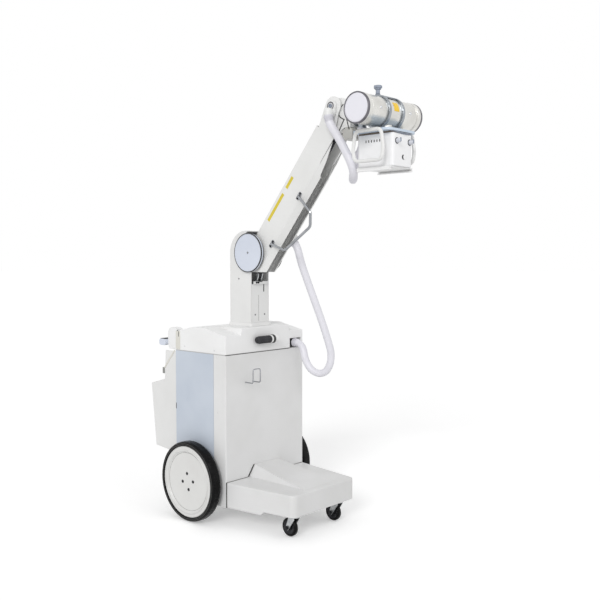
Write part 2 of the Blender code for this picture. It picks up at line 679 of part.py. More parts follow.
def casters():
    """Swivel casters: a plate with its race, a fork, and a wheel on a through bolt."""
    plate_top = PLATFORM_NOSE_BOTTOM - GAP
    plate_low = plate_top - CASTER_PLATE_THICKNESS
    race_low = plate_low - RACE_HEIGHT
    crown_top = race_low - GAP
    crown_low = crown_top - FORK_SHEET
    half = CASTER_WIDTH / 2
    inner = half + FORK_CLEARANCE
    rim = CASTER_RADIUS - CASTER_TYRE_THICKNESS
    bore = CASTER_BOLT_RADIUS + PIN_GAP
    size = CASTER_PLATE_SIZE / 2
    hub = [(-half, bore), (-half, 0.011), (-half + 0.004, 0.013), (-half, rim - 0.003), (-half, rim), (half, rim),
           (half, rim - 0.003), (half - 0.004, 0.013), (half, 0.011), (half, bore)]
    tread = [(-half, rim + GAP), (-half, CASTER_RADIUS - 0.005), (-half + 0.005, CASTER_RADIUS),
             (half - 0.005, CASTER_RADIUS), (half, CASTER_RADIUS - 0.005), (half, rim + GAP)]
    for side, sign in (("left", -1), ("right", 1)):
        x = sign * CASTER_X
        stem = (x, CASTER_Y, 0.0)
        axle = Vector((x, CASTER_AXLE_Y, CASTER_RADIUS))
        corners = rectangle(x - size, x + size, CASTER_Y - size, CASTER_Y + size, 0.008)
        mount = solid(f"caster_plate_{side}", prism(corners, "Z", plate_low, plate_top), "machine", "satin_metal")
        combine(mount, cylinder("Z", stem, RACE_RADIUS, race_low, plate_low + 0.001, 20), "UNION")
        swivel = f"caster_swivel_{side}"
        fork = solid(f"caster_fork_{side}", cylinder("Z", stem, FORK_CROWN_RADIUS, crown_low, crown_top, 20),
                     swivel, "satin_metal")
        leg = [(CASTER_Y - 0.012, crown_top - 0.0002), (CASTER_Y - 0.012, crown_top - 0.012)]
        leg += arc((axle.y, axle.z), 0.010, 205, 350, 6)
        leg += [(CASTER_Y + 0.021, crown_top - 0.012), (CASTER_Y + 0.017, crown_top - 0.0002)]
        for low in (inner, -inner - FORK_SHEET):
            combine(fork, prism(leg, "X", x + low, x + low + FORK_SHEET), "UNION")
        combine(fork, cylinder("X", axle, CASTER_BOLT_RADIUS, -inner - 0.005, inner + 0.005, 12), "UNION")
        wheel = f"caster_axle_{side}"
        solid(f"caster_hub_{side}", turned(hub, "X", axle, 20), wheel, "dark_metal")
        solid(f"caster_tyre_{side}", turned(tread, "X", axle, 32), wheel, "black_rubber")


def column():
    """A bent sheet column: two cheeks, a rear wall that arches over the top, a front plate."""
    head = (COLUMN_REAR - COLUMN_HEAD_RADIUS, PIVOT_Z)
    half = COLUMN_WIDTH / 2

    def arch(radius):
        end = math.degrees(math.acos((COLUMN_HEAD_END - head[0]) / radius))
        return arc(head, radius, 0, end, 12)

    outer = [(COLUMN_FRONT, COLUMN_FOOT), (COLUMN_REAR, COLUMN_FOOT)] + arch(COLUMN_HEAD_RADIUS)
    outer.append((COLUMN_FRONT, PIVOT_Z + COLUMN_BROW_DROP))
    shell = solid("column_shell", prism(outer, "X", -half, half), "machine", "white_paint")
    inner_radius = COLUMN_HEAD_RADIUS - COLUMN_SHEET
    below, before, above = COLUMN_FOOT - 0.01, COLUMN_FRONT - 0.03, PIVOT_Z + COLUMN_HEAD_RADIUS + 0.02
    inner = [(before, below), (COLUMN_REAR - COLUMN_SHEET, below)] + arch(inner_radius)
    inner += [(COLUMN_HEAD_END, above), (before, above)]
    combine(shell, prism(inner, "X", -COLUMN_INNER_HALF, COLUMN_INNER_HALF), "DIFFERENCE")
    hole = PIVOT_PIN_RADIUS + PIN_GAP
    combine(shell, cylinder("X", PIVOT, hole, -half - 0.01, half + 0.01), "DIFFERENCE")

    front = COLUMN_FRONT + GAP
    plate_half = COLUMN_INNER_HALF - GAP
    solid("column_front_plate",
          block((-plate_half, plate_half), (front, front + COLUMN_SHEET),
                (COLUMN_FOOT, COLUMN_FOOT + FRONT_PLATE_HEIGHT)), "machine", "white_paint")

    skirt = []
    for z, spread in ((COLUMN_FOOT, BASE_FLARE), (COLUMN_FOOT + BASE_HEIGHT, BASE_LIP)):
        skirt.append((z, rectangle(-half - spread, half + spread, COLUMN_FRONT - spread, COLUMN_REAR + spread,
                                   0.006)))
    base = solid("column_base", loft(skirt, "Z"), "machine", "white_paint")
    opening = block((-half - GAP, half + GAP), (COLUMN_FRONT - GAP, COLUMN_REAR + GAP),
                    (COLUMN_FOOT - 0.01, COLUMN_FOOT + BASE_HEIGHT + 0.01))
    combine(base, opening, "DIFFERENCE")


def tie_anchor():
    """A shelf between the cheeks with two ears that hold the level rod's lower pin."""
    half = COLUMN_INNER_HALF - GAP
    front = COLUMN_FRONT + 2 * GAP + COLUMN_SHEET
    rear = COLUMN_REAR - COLUMN_SHEET - GAP
    top = COLUMN_FOOT + FRONT_PLATE_HEIGHT - 0.006
    shelf = solid("tie_rod_anchor", block((-half, half), (front, rear), (top - 0.006, top)), "machine",
                  "satin_metal")
    pin = PIVOT - Vector((0.0, 0.0, TIE_DROP))
    ear = [(front + 0.006, top - 0.001), (front + 0.034, top - 0.001)]
    ear += arc((pin.y, pin.z), 0.013, -10, 190, 10)
    inner = TIE_EYE_THICKNESS / 2 + TIE_EAR_CLEARANCE
    for low in (inner, -inner - TIE_EAR_THICKNESS):
        combine(shelf, prism(ear, "X", low, low + TIE_EAR_THICKNESS), "UNION")
    reach = inner + TIE_EAR_THICKNESS + 0.003
    combine(shelf, cylinder("X", pin, TIE_PIN_RADIUS, -reach, reach, 24), "UNION")


def arm_hub():
    """The pin through both cheeks, and the round caps over its ends."""
    half = COLUMN_WIDTH / 2
    solid("arm_pivot_pin", cylinder("X", PIVOT, PIVOT_PIN_RADIUS, -half, half), "machine", "satin_metal")
    radius, thick = HUB_CAP_RADIUS, HUB_CAP_THICKNESS
    profile = [(0.0, 0.0), (0.0, radius), (thick - 0.002, radius), (thick, radius - 0.002),
               (thick, radius - 0.005), (thick - 0.0012, radius - 0.006), (thick - 0.0012, 0.0)]
    for side, sign in (("left", -1), ("right", 1)):
        outward = [(sign * (half + GAP + along), r) for along, r in profile]
        solid(f"hub_cap_{side}", turned(outward, "X", PIVOT, 48), "machine", "blue_panel")


def level_rod():
    """The rod that keeps the tube head level as the arm swings."""
    low = PIVOT - Vector((0.0, 0.0, TIE_DROP))
    high = WRIST - Vector((0.0, 0.0, TIE_DROP))
    half = TIE_EYE_THICKNESS / 2
    rod = solid("tie_rod", sweep([low + ALONG * 0.004, high - ALONG * 0.004], TIE_ROD_RADIUS, 16), "tie_pivot",
                "dark_metal")
    for place in (low, high):
        combine(rod, cylinder("X", place, TIE_EYE_RADIUS, -half, half, 24), "UNION")
    for place in (low, high):
        combine(rod, cylinder("X", place, TIE_PIN_RADIUS + PIN_GAP, -half - 0.01, half + 0.01, 24), "DIFFERENCE")


def arm_section():
    """The arm's folded sheet: a back, two sides, and lips that leave a slot, as (x, n)."""
    half, slot = ARM_WIDTH / 2, ARM_SLOT_HALF
    sheet, fold = ARM_SHEET, ARM_FOLD_RADIUS
    lip = Vector((slot - half, ARM_LIP - ARM_CREASE)).normalized()
    inset = Vector((lip.y, -lip.x)) * sheet
    outer = [((slot, ARM_LIP), 0.0), ((half, ARM_CREASE), 0.0), ((half, ARM_BACK), fold)]
    rise = (1.0 - abs(lip.y)) / abs(lip.x) * sheet
    inner = [((half - sheet, ARM_BACK - sheet), fold - sheet), ((half - sheet, ARM_CREASE + rise), 0.0),
             ((slot + inset.x, ARM_LIP + inset.y), 0.0)]

    def mirror(corners):
        return [((-x, n), radius) for (x, n), radius in reversed(corners)]

    return rounded(outer + mirror(outer) + mirror(inner) + inner)


def arm():
    """The arm: one folded channel, cut to its side outline, with bushes at its pivot."""
    channel = prism(arm_section(), "Z", -ARM_HEEL_RADIUS - 0.02, ARM_BACK_END)
    bmesh.ops.transform(channel, matrix=arm_frame(), verts=channel.verts)
    beam = solid("arm_beam", channel, "arm_pivot", "white_paint")

    sine, cosine = ALONG.z, ACROSS.z

    def heel(n):
        return (-ARM_HEEL_CUT - cosine * n) / sine

    lift = 0.003
    back, front = ARM_BACK + lift, ARM_LIP - lift
    start = math.degrees(math.atan2(ARM_BACK, -math.sqrt(ARM_HEEL_RADIUS ** 2 - ARM_BACK ** 2)))
    low_turn = math.degrees(math.atan2(-cosine, -sine))
    outline = [(heel(front), front)] + arc((0.0, 0.0), ARM_HEEL_RADIUS, low_turn % 360, start, 6)
    beyond = ARM_BACK_END + lift
    outline += [(-math.sqrt(ARM_HEEL_RADIUS ** 2 - ARM_BACK ** 2), back), (beyond, back),
                (beyond, ARM_CREASE + 0.003), (ARM_LIP_TAPER[1], ARM_CREASE + 0.002), (ARM_LIP_TAPER[0], front)]
    combine(beam, prism([arm_spot(t, n) for t, n in outline], "X", -ARM_WIDTH, ARM_WIDTH), "INTERSECT")

    root = ARM_BACK_END - 0.020
    cheek = [(root, ARM_CREASE + 0.004), (root, ARM_NECK), (ARM_BACK_END + 0.006, ARM_NECK)]
    cheek += arc((ARM_LENGTH, 0.0), ARM_TIP_RADIUS, 112, -96, 12) + [(ARM_BACK_END + ARM_CHIN_AHEAD, ARM_CREASE + 0.004)]
    cheek = [arm_spot(t, n) for t, n in cheek]
    half = ARM_WIDTH / 2
    for low in (-half, half - ARM_SHEET):
        combine(beam, prism(cheek, "X", low, low + ARM_SHEET), "UNION")

    bush_end = COLUMN_INNER_HALF - 0.001
    inner = ARM_WIDTH / 2 - ARM_SHEET
    for low, high in ((inner, bush_end), (-bush_end, -inner)):
        combine(beam, cylinder("X", PIVOT, ARM_BUSH_RADIUS, low, high, 20), "UNION")
    combine(beam, cylinder("X", PIVOT, PIVOT_PIN_RADIUS + PIN_GAP, -ARM_WIDTH, ARM_WIDTH), "DIFFERENCE")
    combine(beam, cylinder("X", WRIST, END_PIN_RADIUS + PIN_GAP, -ARM_WIDTH, ARM_WIDTH), "DIFFERENCE")


def rod_handle():
    """A bent rod with two flat feet on the arm's near side."""
    side = -ARM_WIDTH / 2 - GAP
    length, width, thick = ROD_FOOT_SIZE
    x = side - thick - ROD_HANDLE_RADIUS + 0.002
    corners = [((x, *arm_spot(t, n)), ROD_HANDLE_BEND) for t, n in ROD_HANDLE]
    handle = solid("arm_handle", sweep(rounded(corners, 3, closed=False), ROD_HANDLE_RADIUS, 10), "arm_pivot",
                   "chrome")
    for t, n in (ROD_HANDLE[0], ROD_HANDLE[-1]):
        pad = rounded([(arm_spot(t + a * length / 2, n + b * width / 2), 0.004)
                       for a, b in ((-1, -1), (1, -1), (1, 1), (-1, 1))])
        combine(handle, prism(pad, "X", side - thick, side), "UNION")


def arm_socket():
    """The housing on the arm's far side that the lower hose goes into."""
    side = ARM_WIDTH / 2 + GAP
    corners = [(arm_spot(t, n), 0.012) for t, n in
               ((ARM_SOCKET_T[0], ARM_SOCKET_N[0]), (ARM_SOCKET_T[1], ARM_SOCKET_N[0]),
                (ARM_SOCKET_T[1], ARM_SOCKET_N[1]), (ARM_SOCKET_T[0], ARM_SOCKET_N[1]))]
    solid("arm_hose_socket", prism(rounded(corners), "X", side, side + ARM_SOCKET_THICKNESS), "arm_pivot",
          "white_paint")


def knuckle():
    """The block that carries the head: it turns on the arm's end pin and the level rod's pin."""
    half = KNUCKLE_WIDTH / 2
    foot = WRIST - Vector((0.0, 0.0, TIE_DROP))
    front = WRIST.y - KNUCKLE_FRONT
    y, z = WRIST.y, WRIST.z
    under = z - LOCK_BOX_TOP_DROP + 0.011
    outline = arc((y, z), KNUCKLE_TOP_RADIUS, 0, 100, 6)
    outline += [tuple(point) for point in rounded([((y - 0.040, z + 0.031), 0.0), ((front + 0.014, z + 0.020), 0.016),
                                                   ((front, z), 0.010), ((front, under), 0.0)], closed=False)]
    outline += [(front + 0.030, under)]
    outline += arc((foot.y, foot.z), KNUCKLE_FOOT_RADIUS, 215, 360, 6)
    body = solid("knuckle", prism(outline, "X", -half, half), "wrist_pivot", "white_paint")
    bearing = cylinder("Y", (0.0, 0.0, TUBE.z), ROLL_FLANGE_RADIUS, front - ROLL_FLANGE_THICKNESS, front + 0.002, 32)
    combine(body, bearing, "UNION")
    slot = block((-KNUCKLE_SLOT_HALF, KNUCKLE_SLOT_HALF), (y - 0.026, y + 0.05), (foot.z - 0.03, foot.z + 0.034))
    combine(body, slot, "DIFFERENCE")
    reach = KNUCKLE_SLOT_HALF + 0.006
    combine(body, cylinder("X", foot, TIE_PIN_RADIUS, -reach, reach, 24), "UNION")
    combine(body, cylinder("X", WRIST, END_PIN_RADIUS + PIN_GAP, -half - 0.01, half + 0.01), "DIFFERENCE")

    box_half = LOCK_BOX_WIDTH / 2
    top = z - LOCK_BOX_TOP_DROP
    rear_y, front_y = y - LOCK_BOX_REAR, y - LOCK_BOX_FRONT
    lug_top = under - GAP
    box = [(rear_y, top - LOCK_BOX_HEIGHT), (front_y, top - LOCK_BOX_HEIGHT), (front_y, top),
           (front + 0.002, lug_top), (front + 0.028, lug_top), (rear_y, top)]
    solid("level_lock", prism(box, "X", -box_half, box_half), "wrist_pivot", "grey_plastic")


def end_pin():
    """The hollow pin at the arm's end, with the elbow that the head's hose leaves."""
    outer = ARM_WIDTH / 2 + 0.001
    pin = solid("hose_elbow", cylinder("X", WRIST, END_PIN_RADIUS, -outer - 0.004, outer + 0.005), "wrist_pivot",
                "white_paint")
    start = -outer - ELBOW_THICKNESS - 0.003
    housing = [(start, 0.0), (start, ELBOW_RADIUS - 0.004), (start + 0.004, ELBOW_RADIUS), (-outer, ELBOW_RADIUS),
               (-outer, 0.0)]
    combine(pin, turned(housing, "X", WRIST, 24), "UNION")
    combine(pin, cylinder("X", WRIST, END_PIN_RADIUS + 0.004, outer, outer + 0.007), "UNION")
    mouth = Vector(HEAD_HOSE_ROUTE[0])
    aim = (mouth - Vector(HEAD_HOSE_ROUTE[1])).normalized()
    spout = [mouth + aim * GAP, mouth + aim * ELBOW_DROP]
    combine(pin, sweep(spout, HOSE_RADIUS + 0.0015, 20), "UNION")


def cradle():
    """Two rings that hold the tube, a bridge over them, a rear saddle and the roll stem."""
    bore = TUBE_RADIUS + RING_INNER_GAP
    rim = bore + RING_WALL
    centre = (TUBE.y, TUBE.z)
    piece = None
    for x in (-RING_X, RING_X):
        low, high = x - RING_WIDTH / 2, x + RING_WIDTH / 2
        ring = turned([(low, bore), (low, rim), (high, rim), (high, bore)], "X", TUBE)
        if piece is None:
            piece = solid("cradle", ring, "roll_pivot", "satin_metal")
        else:
            combine(piece, ring, "UNION")
    for (start, end), wall in ((BRIDGE_ARC, RING_WALL - 0.001), (SADDLE_ARC, SADDLE_WALL)):
        inner = bore + 0.001
        shape = arc(centre, inner + wall, start, end, 10) + arc(centre, inner, end, start, 10)
        combine(piece, prism(shape, "X", -RING_X, RING_X), "UNION")
    flange_back = WRIST.y - KNUCKLE_FRONT - ROLL_FLANGE_THICKNESS - ROLL_GAP
    saddle_y = TUBE.y + bore + 0.004
    profile = [(saddle_y, 0.0), (saddle_y, ROLL_STEM_RADIUS), (flange_back - ROLL_FLANGE_THICKNESS, ROLL_STEM_RADIUS),
               (flange_back - ROLL_FLANGE_THICKNESS + 0.001, ROLL_FLANGE_RADIUS), (flange_back, ROLL_FLANGE_RADIUS),
               (flange_back, 0.0)]
    combine(piece, turned(profile, "Y", (0.0, 0.0, TUBE.z), 32), "UNION")
    gland = (0.0, TUBE.y + GLAND_BACK, TUBE.z)
    combine(piece, cylinder("Z", gland, GLAND_RADIUS + 0.001, -GLAND_DROP, -0.010), "UNION")


def clamp_knob():
    """The star knob that locks the tube in its cradle."""
    seat = TUBE_RADIUS + RING_INNER_GAP + RING_WALL
    profile = [(0.0, 0.0), (0.0, 0.010), (0.003, 0.010), (0.004, 0.0045), (0.018, 0.0045), (0.019, 0.010),
               (0.022, 0.013), (0.034, 0.013), (0.037, 0.010), (0.038, 0.0)]
    raised = [(seat + GAP + along, radius) for along, radius in profile]
    solid("clamp_knob", turned(raised, "Z", (CLAMP_KNOB_X, TUBE.y, TUBE.z), 24), "roll_pivot", "grey_plastic")


def tube():
    """The tube housing with its port neck, and the two end caps."""
    inner_end = TUBE_HALF_LENGTH - TUBE_CAP_LENGTH
    radius = TUBE_RADIUS
    profile = [(-inner_end, 0.0), (-inner_end, radius), (inner_end, radius), (inner_end, 0.0)]
    housing = solid("tube_housing", turned(profile, "X", TUBE), "tilt_pivot", "satin_metal")
    neck = cylinder("Z", TUBE, TUBE_NECK_RADIUS, -FLANGE_DROP + GAP, -radius + 0.015)
    combine(housing, neck, "UNION")
    cap = [(GAP, 0.0), (GAP, radius + 0.0005), (TUBE_CAP_LENGTH - 0.003, radius + 0.0005),
           (TUBE_CAP_LENGTH - 0.001, radius - 0.006), (TUBE_CAP_LENGTH, radius - 0.008), (TUBE_CAP_LENGTH, 0.0)]
    for side, sign in (("left", -1), ("right", 1)):
        outward = [(sign * (inner_end + along), r) for along, r in cap]
        solid(f"tube_cap_{side}", turned(outward, "X", TUBE), "tilt_pivot", "white_paint")


def collimator():
    """The flange under the tube, the collimator with its knobs, and the accessory rails."""
    y, z = TUBE.y, TUBE.z
    plate = rectangle(-FLANGE_HALF_WIDTH, FLANGE_HALF_WIDTH, y - FLANGE_HALF_LENGTH, y + FLANGE_HALF_LENGTH,
                      FLANGE_CORNER)
    solid("collimator_flange", prism(plate, "Z", FLANGE_BOTTOM, z - FLANGE_DROP), "tilt_pivot", "blue_panel")
    half = COLLIMATOR_HALF_WIDTH
    rear, front = y + COLLIMATOR_REAR, y - COLLIMATOR_FRONT
    top, bottom = z - COLLIMATOR_TOP_DROP, z - COLLIMATOR_BOTTOM_DROP
    box = solid("collimator_box", prism(rectangle(-half, half, front, rear, COLLIMATOR_CORNER), "Z", bottom, top),
                "tilt_pivot", "white_paint")
    soften(box, COLLIMATOR_EDGE, angle=60)
    neck = block((-half + 0.014, half - 0.014), (front + 0.020, rear - 0.020), (top - 0.005, FLANGE_BOTTOM - GAP))
    combine(box, neck, "UNION")
    for side, x in (("left", -0.038), ("right", 0.046)):
        base = front - GAP
        profile = [(base, 0.0), (base, KNOB_RADIUS), (base - 0.012, KNOB_RADIUS - 0.001),
                   (base - KNOB_LENGTH + 0.002, KNOB_RADIUS - 0.002), (base - KNOB_LENGTH + GAP, KNOB_RADIUS - 0.004),
                   (base - KNOB_LENGTH + GAP, 0.0)]
        solid(f"collimator_knob_{side}", turned(profile, "Y", (x, 0.0, z - KNOB_DROP), 20), "tilt_pivot",
              "grey_plastic")
    outer, sheet, lip = RAIL_HALF_WIDTH, RAIL_SHEET, RAIL_LIP
    high = bottom - GAP
    low = high - RAIL_HEIGHT
    right = [(outer, high), (outer, low), (outer - sheet - lip, low), (outer - sheet - lip, low + sheet - 0.001),
             (outer - sheet, low + sheet - 0.001), (outer - sheet, high - sheet)]
    section = right + [(-a, b) for a, b in reversed(right)]
    solid("accessory_rails", prism(section, "Y", front + 0.006, rear - 0.006), "tilt_pivot", "white_paint")


def head_handles():
    """Closed loops of tube on both sides of the flange."""
    radius = HANDLE_TUBE_RADIUS
    y, z = TUBE.y, TUBE.z
    corners = (((-HANDLE_TOP_HALF, -HANDLE_TOP_DROP), 0.020), ((HANDLE_TOP_HALF, -HANDLE_TOP_DROP), 0.020),
               ((HANDLE_BELLY_HALF, -HANDLE_BELLY_DROP), 0.080), ((HANDLE_TOP_HALF + 0.004, -HANDLE_BOTTOM_DROP), 0.022),
               ((-HANDLE_TOP_HALF - 0.004, -HANDLE_BOTTOM_DROP), 0.022), ((-HANDLE_BELLY_HALF, -HANDLE_BELLY_DROP), 0.080))
    for side, sign in (("left", -1), ("right", 1)):
        x = sign * (FLANGE_HALF_WIDTH + GAP + radius)
        loop = rounded([((x, y + a, z + b), bend) for (a, b), bend in corners], 3)
        solid(f"head_handle_{side}", sweep(loop, radius, 10, closed=True), "tilt_pivot", "white_paint")


def push_handle():
    """Two rounded brackets behind the cover, and the grip across them."""
    rear = CABINET_DEPTH + GAP
    low = CABINET_TOP
    depth = BRACKET_DEPTH
    outline = rounded([((rear, low), 0.0), ((rear + depth - 0.012, low), 0.010), ((rear + depth, low + 0.018), 0.006),
                       ((rear + depth, low + BRACKET_HEIGHT), BRACKET_CORNER), ((rear, low + BRACKET_HEIGHT), 0.020)])
    for side, sign in (("left", -1), ("right", 1)):
        edges = sorted(sign * x for x in BRACKET_X)
        solid(f"push_bracket_{side}", prism(outline, "X", *edges), "machine", "white_paint")
    start = rear + depth + GAP
    bar = rectangle(start, start + GRIP_DEPTH, low + GRIP_RISE, low + GRIP_RISE + GRIP_HEIGHT, GRIP_CORNER)
    solid("push_grip", prism(bar, "X", -HALF_WIDTH, HALF_WIDTH), "machine", "blue_panel")


def cassette_bin():
    """A sheet-metal bin, open at the top, between two side plates that reach up higher."""
    half, sheet = BIN_WIDTH / 2, BIN_SHEET
    outline = [(CABINET_DEPTH + back, z) for back, z in BIN_SIDE]
    piece = solid("cassette_bin", prism(outline, "X", -half, half), "machine", "white_paint")
    (_, top), _, _, (reach, lip), (toe, toe_z), _, (front, floor) = BIN_SIDE
    slope = (reach - toe) / (lip - toe_z)
    above = top + 0.02
    inner = [(front + sheet, floor + sheet), (toe - sheet, toe_z + sheet),
             (toe - sheet + slope * (above - toe_z - sheet), above), (front + sheet, above)]
    inner = [(CABINET_DEPTH + back, z) for back, z in inner]
    combine(piece, prism(inner, "X", -half + sheet, half - sheet), "DIFFERENCE")


def front_details():
    """The wire hook, and the hand switch in its clip."""
    left, right = HOOK_X
    low, high = HOOK_HEIGHT, HOOK_HEIGHT + HOOK_RISE
    corners = [((left, -GAP, low), 0.0), ((left, -HOOK_REACH, low), HOOK_BEND), ((left, -HOOK_REACH, high), HOOK_BEND),
               ((right, -HOOK_REACH, high), HOOK_BEND), ((right, -HOOK_REACH, low), HOOK_BEND),
               ((right, -GAP, low), 0.0)]
    solid("cable_hook", sweep(rounded(corners, 3, closed=False), HOOK_WIRE, 8), "machine", "chrome")

    start, end = SWITCH_X
    radius = SWITCH_RADIUS
    middle = (0.0, -radius - 0.003, CABINET_TOP + SWITCH_RISE)
    body = [(start, 0.0), (start, radius - 0.006), (start + 0.006, radius - 0.001), (start + 0.030, radius),
            (end - 0.024, radius - 0.001), (end - 0.020, radius - 0.005), (end - 0.004, radius - 0.005),
            (end, radius - 0.008), (end, 0.0)]
    solid("hand_switch", turned(body, "X", middle, 20), "machine", "black_plastic")
    grip = radius - 0.005 + GAP
    centre = (middle[1], middle[2])
    jaw = arc(centre, grip + 0.003, 150, -150, 10) + arc(centre, grip, -150, 150, 10)
    clip = solid("switch_clip", prism(jaw, "X", end - 0.015, end - 0.015 + CLIP_WIDTH), "machine", "grey_plastic")
    foot = block((end - 0.015, end - 0.015 + CLIP_WIDTH), (-GAP - 0.009, -GAP), (centre[1] - 0.012, centre[1] + 0.012))
    combine(clip, foot, "UNION")
    combine(clip, cylinder("X", middle, grip, end - 0.02, end, 24), "DIFFERENCE")


def build():
    clear_scene()
    add_pivots()
    for make in (cabinet, top_cover, hose_gland, platform, rear_wheels, casters, column, tie_anchor, arm_hub,
                 level_rod, arm, rod_handle, arm_socket, knuckle, end_pin, cradle, clamp_knob, tube, collimator,
                 head_handles, push_handle, cassette_bin, front_details):
        make()
    hose("hose_arm", ARM_HOSE_ROUTE, "machine")
    hose("hose_head", HEAD_HOSE_ROUTE, "wrist_pivot")


build()
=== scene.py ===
# %% [markdown]
# # A mobile x-ray machine
# This notebook dresses a CAD model of a ward x-ray machine. The CAD already holds the big
# shapes and their joints: cabinet, column, lifting arm and tube head. Here we add a camera,
# light, hoses, small fittings and the finishes, so that the machine looks like the real one.

# %% Load the frame
import math
import bmesh
import bpy
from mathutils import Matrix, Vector


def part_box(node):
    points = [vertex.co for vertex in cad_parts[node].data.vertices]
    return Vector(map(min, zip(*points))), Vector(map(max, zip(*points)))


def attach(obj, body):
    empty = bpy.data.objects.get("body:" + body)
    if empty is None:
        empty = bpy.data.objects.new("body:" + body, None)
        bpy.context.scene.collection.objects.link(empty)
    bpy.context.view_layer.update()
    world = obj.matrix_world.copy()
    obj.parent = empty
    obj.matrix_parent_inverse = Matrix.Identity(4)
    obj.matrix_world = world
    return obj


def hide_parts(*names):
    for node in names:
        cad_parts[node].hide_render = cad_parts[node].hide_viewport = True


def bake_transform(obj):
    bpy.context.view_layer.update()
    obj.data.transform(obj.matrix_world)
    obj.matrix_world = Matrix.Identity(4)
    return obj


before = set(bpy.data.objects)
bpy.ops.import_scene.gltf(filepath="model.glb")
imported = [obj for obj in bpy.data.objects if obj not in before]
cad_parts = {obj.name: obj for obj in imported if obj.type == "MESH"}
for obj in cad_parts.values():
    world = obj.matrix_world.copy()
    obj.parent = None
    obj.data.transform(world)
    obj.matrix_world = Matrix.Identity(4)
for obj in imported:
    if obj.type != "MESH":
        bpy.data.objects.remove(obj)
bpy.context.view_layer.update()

# %% [markdown]
# ## Where things are
# The machine was drawn with its cabinet's front face at y = 0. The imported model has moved
# along y, so one number, read from the cabinet itself, takes every place across. The arm is
# easier to think about in its own terms: a distance along it and a distance across it.

# %% Places on the cabinet and on the arm
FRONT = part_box("cabinet_body")[0].y
HALF_WIDTH = 0.25
SIDES = (-1, 1)
LEFT, RIGHT, AHEAD, UP = (-1, 0, 0), (1, 0, 0), (0, -1, 0), (0, 0, 1)
FULL_TURN = 2 * math.pi
ARM_PIVOT = Vector((0.0, 0.046, 1.2083))
ALONG = Vector((0.0, -0.626604, 0.779338))
ACROSS = Vector((0.0, 0.779338, 0.626604))
TUBE_AXIS = Vector((0.0, -0.664358, 1.758111))
WRIST_PIN = Vector((0.0, -0.435858, 1.807611))


def at(x, y, z):
    """A place given from the middle of the cabinet's front face, at floor level."""
    return Vector((x, y + FRONT, z))


def on_arm(x, along, across):
    """A place given along and across the lifting arm."""
    spot = ARM_PIVOT + ALONG * along + ACROSS * across
    return at(x, spot.y, spot.z)


print("cabinet front at y =", round(FRONT, 4))

# %% [markdown]
# ## The camera
# The picture was taken from the left front, a little over a metre up, with a lens that is
# slightly longer than normal. A camera that looks along a direction is turned with
# to_track_quat, which avoids working out the angles by hand.

# %% Camera at the photograph's viewpoint
LENS, SENSOR = 48.70, 36.0
EYE = Vector((-2.6272, -2.4944, 1.1918))
HEADING, DIP = math.radians(47.54), math.radians(3.08)

camera_data = bpy.data.cameras.new("photo_camera")
camera_data.lens, camera_data.sensor_width = LENS, SENSOR
camera = bpy.data.objects.new("photo_camera", camera_data)
camera.location = EYE
ahead = Vector((math.sin(HEADING) * math.cos(DIP), math.cos(HEADING) * math.cos(DIP), -math.sin(DIP)))
camera.rotation_euler = ahead.to_track_quat("-Z", "Y").to_euler()
bpy.context.collection.objects.link(camera)
bpy.context.scene.camera = camera
bpy.context.scene.view_settings.view_transform = "Standard"
print("camera looks along", [round(value, 3) for value in ahead])

# %% [markdown]
# ## Meshes from code
# Most small fittings are one of three things: an outline pushed through a thickness, a
# profile turned on a lathe, or a round bar bent along a route. Three helpers cover them.
# Each adds to a bmesh, so that several shapes can make one piece.


# %% Shape helpers
def skin_over(shape, *outlines):
    """Walls from each outline to the next one, and a face on the first and on the last."""
    rings = [[shape.verts.new(corner) for corner in outline] for outline in outlines]
    shape.faces.new(rings[0])
    shape.faces.new(rings[-1])
    for near, far in zip(rings, rings[1:]):
        for here in range(len(near)):
            there = (here + 1) % len(near)
            shape.faces.new((near[here], near[there], far[there], far[here]))
    return shape


def prism(shape, outline, axis, low, high):
    """Pushes an outline, given in the two other axes, along x, y or z."""
    order = {"x": (2, 0, 1), "y": (0, 2, 1), "z": (0, 1, 2)}[axis]
    return skin_over(shape, *([Vector([(a, b, level)[place] for place in order]) for a, b in outline]
                              for level in (low, high)))


def slab(shape, low, high):
    """A straight-sided block between two corners."""
    outline = [(low[0], low[1]), (high[0], low[1]), (high[0], high[1]), (low[0], high[1])]
    return prism(shape, outline, "z", low[2], high[2])


def side_slabs(shape, near, far, low, high):
    """The same block on both sides, from near to far of the middle, between two (y, z) places."""
    for side in SIDES:
        left, right = sorted((side * near, side * far))
        slab(shape, at(left, *low), at(right, *high))
    return shape


def turned(shape, profile, place, direction, steps=40):
    """Turns (distance along, radius) pairs on a lathe, round a line through a place."""
    turn = Vector(direction).to_track_quat("Z", "Y").to_matrix()
    rings = []
    for distance, radius in profile:
        if radius < 1e-6:
            rings.append([shape.verts.new(place + turn @ Vector((0, 0, distance)))])
            continue
        ring = []
        for step in range(steps):
            angle = FULL_TURN * step / steps
            spot = Vector((radius * math.cos(angle), radius * math.sin(angle), distance))
            ring.append(shape.verts.new(place + turn @ spot))
        rings.append(ring)
    for first, second in zip(rings, rings[1:]):
        for step in range(steps):
            after = (step + 1) % steps
            corners = [first[step % len(first)], first[after % len(first)],
                       second[after % len(second)], second[step % len(second)]]
            shape.faces.new(list(dict.fromkeys(corners)))
    return shape


